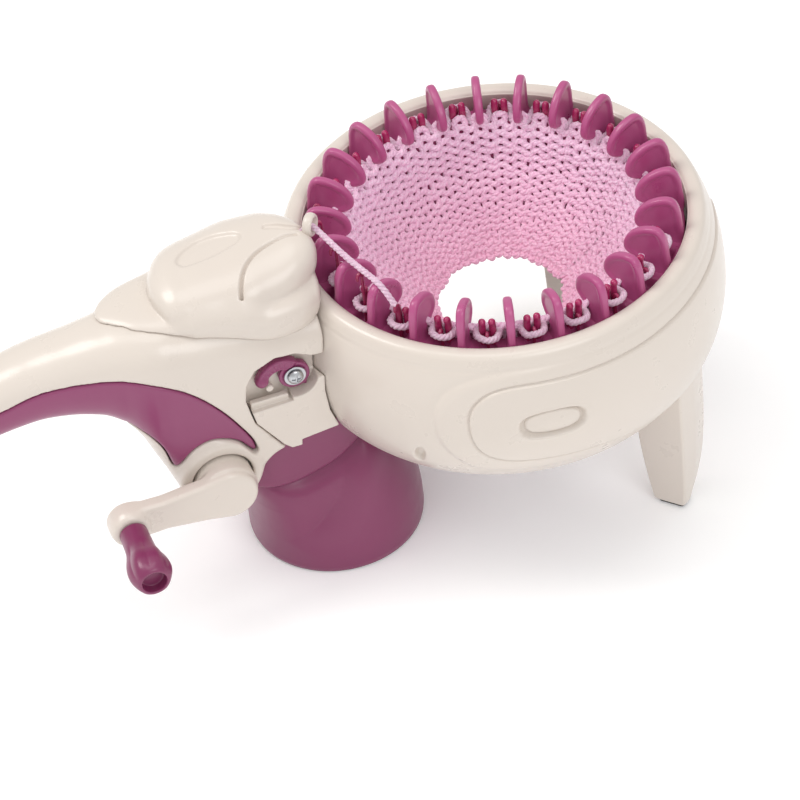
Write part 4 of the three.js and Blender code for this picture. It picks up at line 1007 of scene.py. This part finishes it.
# ---------------------------------------------------------------- crank
def crank():
    h = 0.4
    g = Field((-222, -60, -93), (-140, -34, -58), h)
    pts = []
    for i in range(25):
        a = -math.pi / 2 + i / 24 * math.pi
        pts.append((DRIVE_X + 13.6 * math.cos(a), CRANK_Z + 13.6 * math.sin(a)))
    pts += [(DRIVE_X - 12, CRANK_Z + 11.4), (DRIVE_X - 32, CRANK_Z + 9.0)]
    for i in range(17):
        a = math.pi / 2 + i / 16 * math.pi
        pts.append((KNOB_X + 9.4 * math.cos(a), CRANK_Z + 9.4 * math.sin(a)))
    pts += [(DRIVE_X - 32, CRANK_Z - 8.4), (DRIVE_X - 12, CRANK_Z - 11.0)]
    f = smax(g.poly_xz(pts), np.abs(g.y + 50.2) - 4.2, 3.2)
    elbow = smax(g.cyl_y(KNOB_X, CRANK_Z, 9.2), np.abs(g.y + 51.6) - 5.9, 2.6)
    f = smin(f, elbow, 3.0)
    boss = smax(g.cyl_y(DRIVE_X, CRANK_Z, 14.2), np.abs(g.y + 43.0) - 6.6, 1.2)
    f = smin(f, boss, 2.4)
    v, fc, n = g.mesh(f)
    make("crank_lever", v, fc, M_CREAM, "crank", ["crank_arm"], normals=n)
    # knob with six soft lobes
    prof = np.array([[6.2, -57.9], [6.8, -58.3], [6.9, -60], [6.9, -64], [7.1, -68], [7.6, -71.5], [8.5, -75.0], [9.6, -78.4], [10.3, -82.0], [10.4, -85.4], [9.8, -88.6], [8.6, -91.2], [7.4, -92.6], [6.4, -92.8], [6.0, -92.3], [5.9, -91.4], [5.85, -89.0], [5.4, -88.1], [2.5, -87.9], [0.05, -87.9]])
    pr = catmull(prof, 6)
    k = 144
    a = np.arange(k) / k * TAU
    lobe = np.exp(-(((pr[:, 1] + 80.5) / 10.5) ** 6)) * (pr[:, 0] > 6.95)
    R = pr[None, :, 0] * (1 - 0.11 * lobe[None, :] * (1 - np.abs(np.cos(3 * a[:, None] + 0.045 * (pr[None, :, 1] + 84)))) ** 0.8)
    v = np.stack([KNOB_X + R * np.cos(a)[:, None], np.broadcast_to(pr[None, :, 1], R.shape), CRANK_Z + R * np.sin(a)[:, None]], -1)
    make("knob", v.reshape(-1, 3), grid_faces(k, len(pr)), M_FOOT, "knob", ["crank_knob"])


def knob_pin():
    prof = np.array([[0.02, -44.9], [2.4, -44.9], [2.5, -45.2], [2.5, -84.0], [2.6, -84.4], [4.2, -84.6], [4.4, -85.0], [4.3, -86.0], [3.4, -86.8], [1.6, -87.2], [0.02, -87.3]])
    k = 48
    a = np.arange(k) / k * TAU
    v = np.stack([KNOB_X + prof[None, :, 0] * np.cos(a)[:, None], np.broadcast_to(prof[None, :, 1], (k, len(prof))), CRANK_Z + prof[None, :, 0] * np.sin(a)[:, None]], -1)
    make("pin_of_knob", v.reshape(-1, 3), grid_faces(k, len(prof)), M_STEEL, "crank", ["knob_pin"])


# ---------------------------------------------------------------- legs and foot
def rounded_polygon(pts, r, n=6):
    p = np.asarray(pts, float)
    out = []
    m = len(p)
    for i in range(m):
        a, b, c = p[i - 1], p[i], p[(i + 1) % m]
        u, w = a - b, c - b
        lu, lw = np.linalg.norm(u), np.linalg.norm(w)
        d = min(r, lu * 0.42, lw * 0.42)
        p0, p1 = b + u / lu * d, b + w / lw * d
        for t in np.linspace(0, 1, n):
            out.append((1 - t) ** 2 * p0 + 2 * t * (1 - t) * b + t**2 * p1)
    return np.array(out)


LEG = [[-66, 74, 99.4, -12.6, 15.5], [-90, 74.6, 99.6, -12.6, 15.2], [-110, 76, 99.8, -12.6, 14.2], [-126, 78.2, 99.8, -12.6, 11.4], [-138, 80.4, 99.6, -12.6, 5.6], [-148.2, 82.4, 98.8, -12.4, -3.0]]


def legs():
    L = np.array(LEG, float)
    for tag, mirror in (("front", 1), ("rear", -1)):
        a = math.radians(-46)
        levels = np.r_[np.linspace(-66, -146.6, 60), [-147.3, -147.8, -148.1, -148.25]]
        rings = []
        for z in levels:
            zz = max(z, -148.2)
            ui, uo, vl, vr = (pchip(L[:, 0], L[:, i], np.array([zz]))[0] for i in (1, 2, 3, 4))
            s = 1.0 if z > -146.7 else 1 - 0.10 * ((-146.7 - z) / 1.55) ** 2
            ring = rounded_polygon([[uo, vl], [uo + 0.8, (vl + vr) / 2], [uo - 0.6, vr], [ui + 3, vr * 0.7], [ui, vl]], 1.5)
            c = ring.mean(0)
            ring = c + (ring - c) * s
            x = ring[:, 0] * math.cos(a) - ring[:, 1] * math.sin(a)
            y = (ring[:, 0] * math.sin(a) + ring[:, 1] * math.cos(a)) * mirror
            rings.append(np.stack([x, y, np.full(len(x), z)], 1))
        v = np.concatenate(rings)
        n = len(rings[0])
        f = grid_faces(len(rings), n, wrap_u=False, wrap_v=True)
        if mirror < 0:
            f = f[:, ::-1]
        f = f.tolist() + [tuple(range((len(rings) - 1) * n, len(rings) * n))]
        make("leg_" + tag + "_shell", v, f, M_CREAM, "frame", ["leg_" + tag])
        rings = []
        for z, s in ((-148.3, 0.93), (-148.5, 0.97), (-149.0, 1.0), (-149.7, 1.0), (-150, 0.96)):
            ring = rounded_polygon([[97.4, -11.1], [98.2, -8.05], [96.8, -5], [87.4, -3.5 - 1.5], [84.4, -11.1]], 1.6)
            c = ring.mean(0)
            ring = c + (ring - c) * s
            x = ring[:, 0] * math.cos(a) - ring[:, 1] * math.sin(a)
            y = (ring[:, 0] * math.sin(a) + ring[:, 1] * math.cos(a)) * mirror
            rings.append(np.stack([x, y, np.full(len(x), z)], 1))
        v = np.concatenate(rings)
        f = grid_faces(len(rings), n, wrap_u=False, wrap_v=True)
        if mirror < 0:
            f = f[:, ::-1]
        f = f.tolist() + [tuple(range((len(rings) - 1) * n, len(rings) * n)), tuple(range(n))[::-1]]
        make("pad_" + tag, v, f, M_RUBBER, "frame", ["leg_pad_" + tag])


FOOT_X, FOOT_Y, FOOT_R = -97.0, -9.5, 43.5


def foot():
    N = 320
    a = np.arange(N) / N * TAU
    c, sn = np.cos(a), np.sin(a)
    col = np.stack([-111 + 34 * np.sign(c) * np.abs(c) ** 0.45, -3.5 + 33.6 * np.sign(sn) * np.abs(sn) ** 0.45], 1)
    base = np.stack([FOOT_X + FOOT_R * c, FOOT_Y + FOOT_R * sn], 1)
    mid = col.mean(0)

    def shell(levels):
        rings = []
        for z, t, grow in levels:
            p = col + (base - col) * t
            d = p - mid
            p = p + d / np.linalg.norm(d, axis=1)[:, None] * grow
            rings.append(np.c_[p, np.full(N, z)])
        v = np.concatenate(rings)
        # the seam between collar and flare climbs towards the bowl
        seam = pchip([-170, -142.5, -130.4, -120.1, -109.7, -99, -92.3, -84, -40], [-96.2, -96.2, -96.4, -95.6, -92.7, -88.3, -83.4, -78.5, -76], v[:, 0])
        v[:, 2] = np.where(v[:, 2] > -96.2, -62 + (v[:, 2] + 62) * (seam + 62) / (-96.2 + 62), -150 + (v[:, 2] + 150) * (seam + 150) / (-96.2 + 150))
        # a soft hollow where the crank swings past
        gap = np.sqrt((v[:, 0] - DRIVE_X) ** 2 + (v[:, 2] - CRANK_Z) ** 2) - 61.8
        low = -43.4 - 0.8 * np.maximum(gap, 0)
        v[:, 1] = smax(v[:, 1], low, 7.0)
        return v, grid_faces(len(rings), N, wrap_u=False, wrap_v=True).tolist()

    bag = Bag()
    collar = [(z, 0, 0) for z in np.linspace(-62, -94.4, 14)] + [(-95.2, 0, -0.1), (-95.8, 0, -0.5), (-96.1, 0, -1.0), (-96.2, 0, -2.6)]
    bag.add(*shell(collar))
    zs = np.r_[np.linspace(-95.2, -147, 90), [-148.0, -148.8, -149.3]]
    tt = pchip([-95, -97, -99.5, -104, -111, -120, -131, -141, -150], [0, 0.06, 0.2, 0.4, 0.62, 0.8, 0.93, 0.99, 1], zs)
    gr = pchip([-95, -97, -99.5, -104, -112], [-2.6, -2.3, -1.4, -0.5, 0], zs)
    flare = [(z, t, (g if z > -112 else 0) - (0.35 * (-147.5 - z) if z < -147.5 else 0)) for z, t, g in zip(zs, tt, gr)]
    v, f = shell(flare)
    f.append(tuple(range((len(flare) - 1) * N, len(flare) * N)))
    bag.add(v, f)
    make("foot_shell", bag.verts(), bag.f, M_FOOT, "frame", ["foot"])


# ---------------------------------------------------------------- yarn strand
STRAND = [[-97, -3.1, 25.0], [-93.8, -3.1, 28.0], [-90.6, -3.1, 29.6], [-87.4, -8.0, 27.4], [-84.0, -15.0, 24.6], [-80.6, -22.4, 22.2], [-77.2, -29.6, 20.4], [-74.2, -36.2, 19.2],
          [-71.9, -41.6, 18.3], [-69.8, -45.6, 15.6], [-68.0, -48.8, 11.8], [-66.9, -51.0, 9.4]]


def strand():
    path = catmull(STRAND, 14)
    seg = np.r_[0, np.cumsum(np.linalg.norm(np.diff(path, axis=0), axis=1))]
    bag = Bag()
    t = np.gradient(path, axis=0)
    t /= np.linalg.norm(t, axis=1)[:, None]
    side = np.cross(t, [0, 0, 1.0])
    side /= np.linalg.norm(side, axis=1)[:, None]
    up = np.cross(side, t)
    for k in range(3):
        ph = seg / 7.0 * TAU + k / 3 * TAU
        p = path + 0.72 * (np.cos(ph)[:, None] * side + np.sin(ph)[:, None] * up)
        v, f = tube(p, 0.82, 10)
        bag.add(v, f)
    # loose fibres
    for _ in range(70):
        i = rng.randint(6, len(path) - 6)
        d = rng.normal(size=3)
        d -= t[i] * (d @ t[i])
        d /= np.linalg.norm(d)
        q = path[i] + d * 1.1
        e = rng.uniform(1.2, 2.6) * (1 if rng.rand() > 0.5 else -1)
        pts = catmull([q, q + t[i] * e * 0.5 + d * 0.35, q + t[i] * e + d * 0.05], 3)
        v, f = tube(pts, 0.06, 4)
        bag.add(v, f)
    ob = make("feed_yarn", bag.verts(), bag.f, M_YARN_PALE, "frame", ["yarn_strand"])
    return ob


# ---------------------------------------------------------------- build all
ring_housing()
needle_bed()
needles()
knit_tube()
arm()
pod()
neck()
lever()
eyelet()
crank()
knob_pin()
legs()
foot()
strand()

# ---------------------------------------------------------------- floor, camera, light
me = bpy.data.meshes.new("floor")
S = 6.0
me.from_pydata([(-S, -S, 0), (S, -S, 0), (S, S, 0), (-S, S, 0)], [], [(0, 1, 2, 3)])
floor = bpy.data.objects.new("floor", me)
bpy.context.scene.collection.objects.link(floor)
m, nt, b = new_material("floor_look")
b.inputs["Base Color"].default_value = (0.96, 0.96, 0.96, 1)
b.inputs["Roughness"].default_value = 0.85
b.inputs["Emission Color"].default_value = (1, 1, 1, 1)
b.inputs["Emission Strength"].default_value = 0.12
me.materials.append(m)

AL, EL, ROLL = math.radians(15.0), math.radians(43.2), math.radians(-6.5)
T = np.array([0.655, -1.293, 27.989]) * 68.0
R0 = np.array([[1, 0, 0], [0, -math.sin(EL), -math.cos(EL)], [0, math.cos(EL), -math.sin(EL)]])
Rr = np.array([[math.cos(ROLL), -math.sin(ROLL), 0], [math.sin(ROLL), math.cos(ROLL), 0], [0, 0, 1]])
Ra = np.array([[math.cos(AL), -math.sin(AL), 0], [math.sin(AL), math.cos(AL), 0], [0, 0, 1]])
RO = Rr @ R0 @ Ra
pos = to_row(-RO.T @ T)
cam_data = bpy.data.cameras.new("camera")
cam = bpy.data.objects.new("camera", cam_data)
bpy.context.scene.collection.objects.link(cam)
cam_data.sensor_width = 36.0
cam_data.lens = 36.0 * 4000 / 800
cam_data.clip_end = 50
right, up, back = RO[0], -RO[1], -RO[2]
cam.matrix_world = Matrix((
    (right[0], up[0], back[0], pos[0]), (right[1], up[1], back[1], pos[1]), (right[2], up[2], back[2], pos[2]), (0, 0, 0, 1)))
bpy.context.scene.camera = cam


def area(name, loc, target, size, power, colour=(1, 1, 1)):
    d = bpy.data.lights.new(name, "AREA")
    d.shape = "DISK"
    d.size = size
    d.energy = power
    d.color = colour
    o = bpy.data.objects.new(name, d)
    bpy.context.scene.collection.objects.link(o)
    o.location = loc
    o.rotation_mode = "QUATERNION"
    o.rotation_quaternion = (Vector(target) - Vector(loc)).to_track_quat("-Z", "Y")
    return o


area("key", (-1.3, 0.7, 2.3), (0.02, 0, 0.1), 1.3, 27, (1.0, 0.985, 0.96))
area("fill", (0.5, -2.1, 2.2), (0.02, 0, 0.1), 1.6, 20, (0.98, 0.985, 1.0))
area("top", (0.1, 0.1, 3.0), (0.06, 0, 0.1), 1.6, 12)
world = bpy.data.worlds.new("studio")
bpy.context.scene.world = world
world.use_nodes = True
world.node_tree.nodes["Background"].inputs["Color"].default_value = (1, 1, 1, 1)
world.node_tree.nodes["Background"].inputs["Strength"].default_value = 0.72
bpy.context.scene.view_settings.view_transform = "Standard"
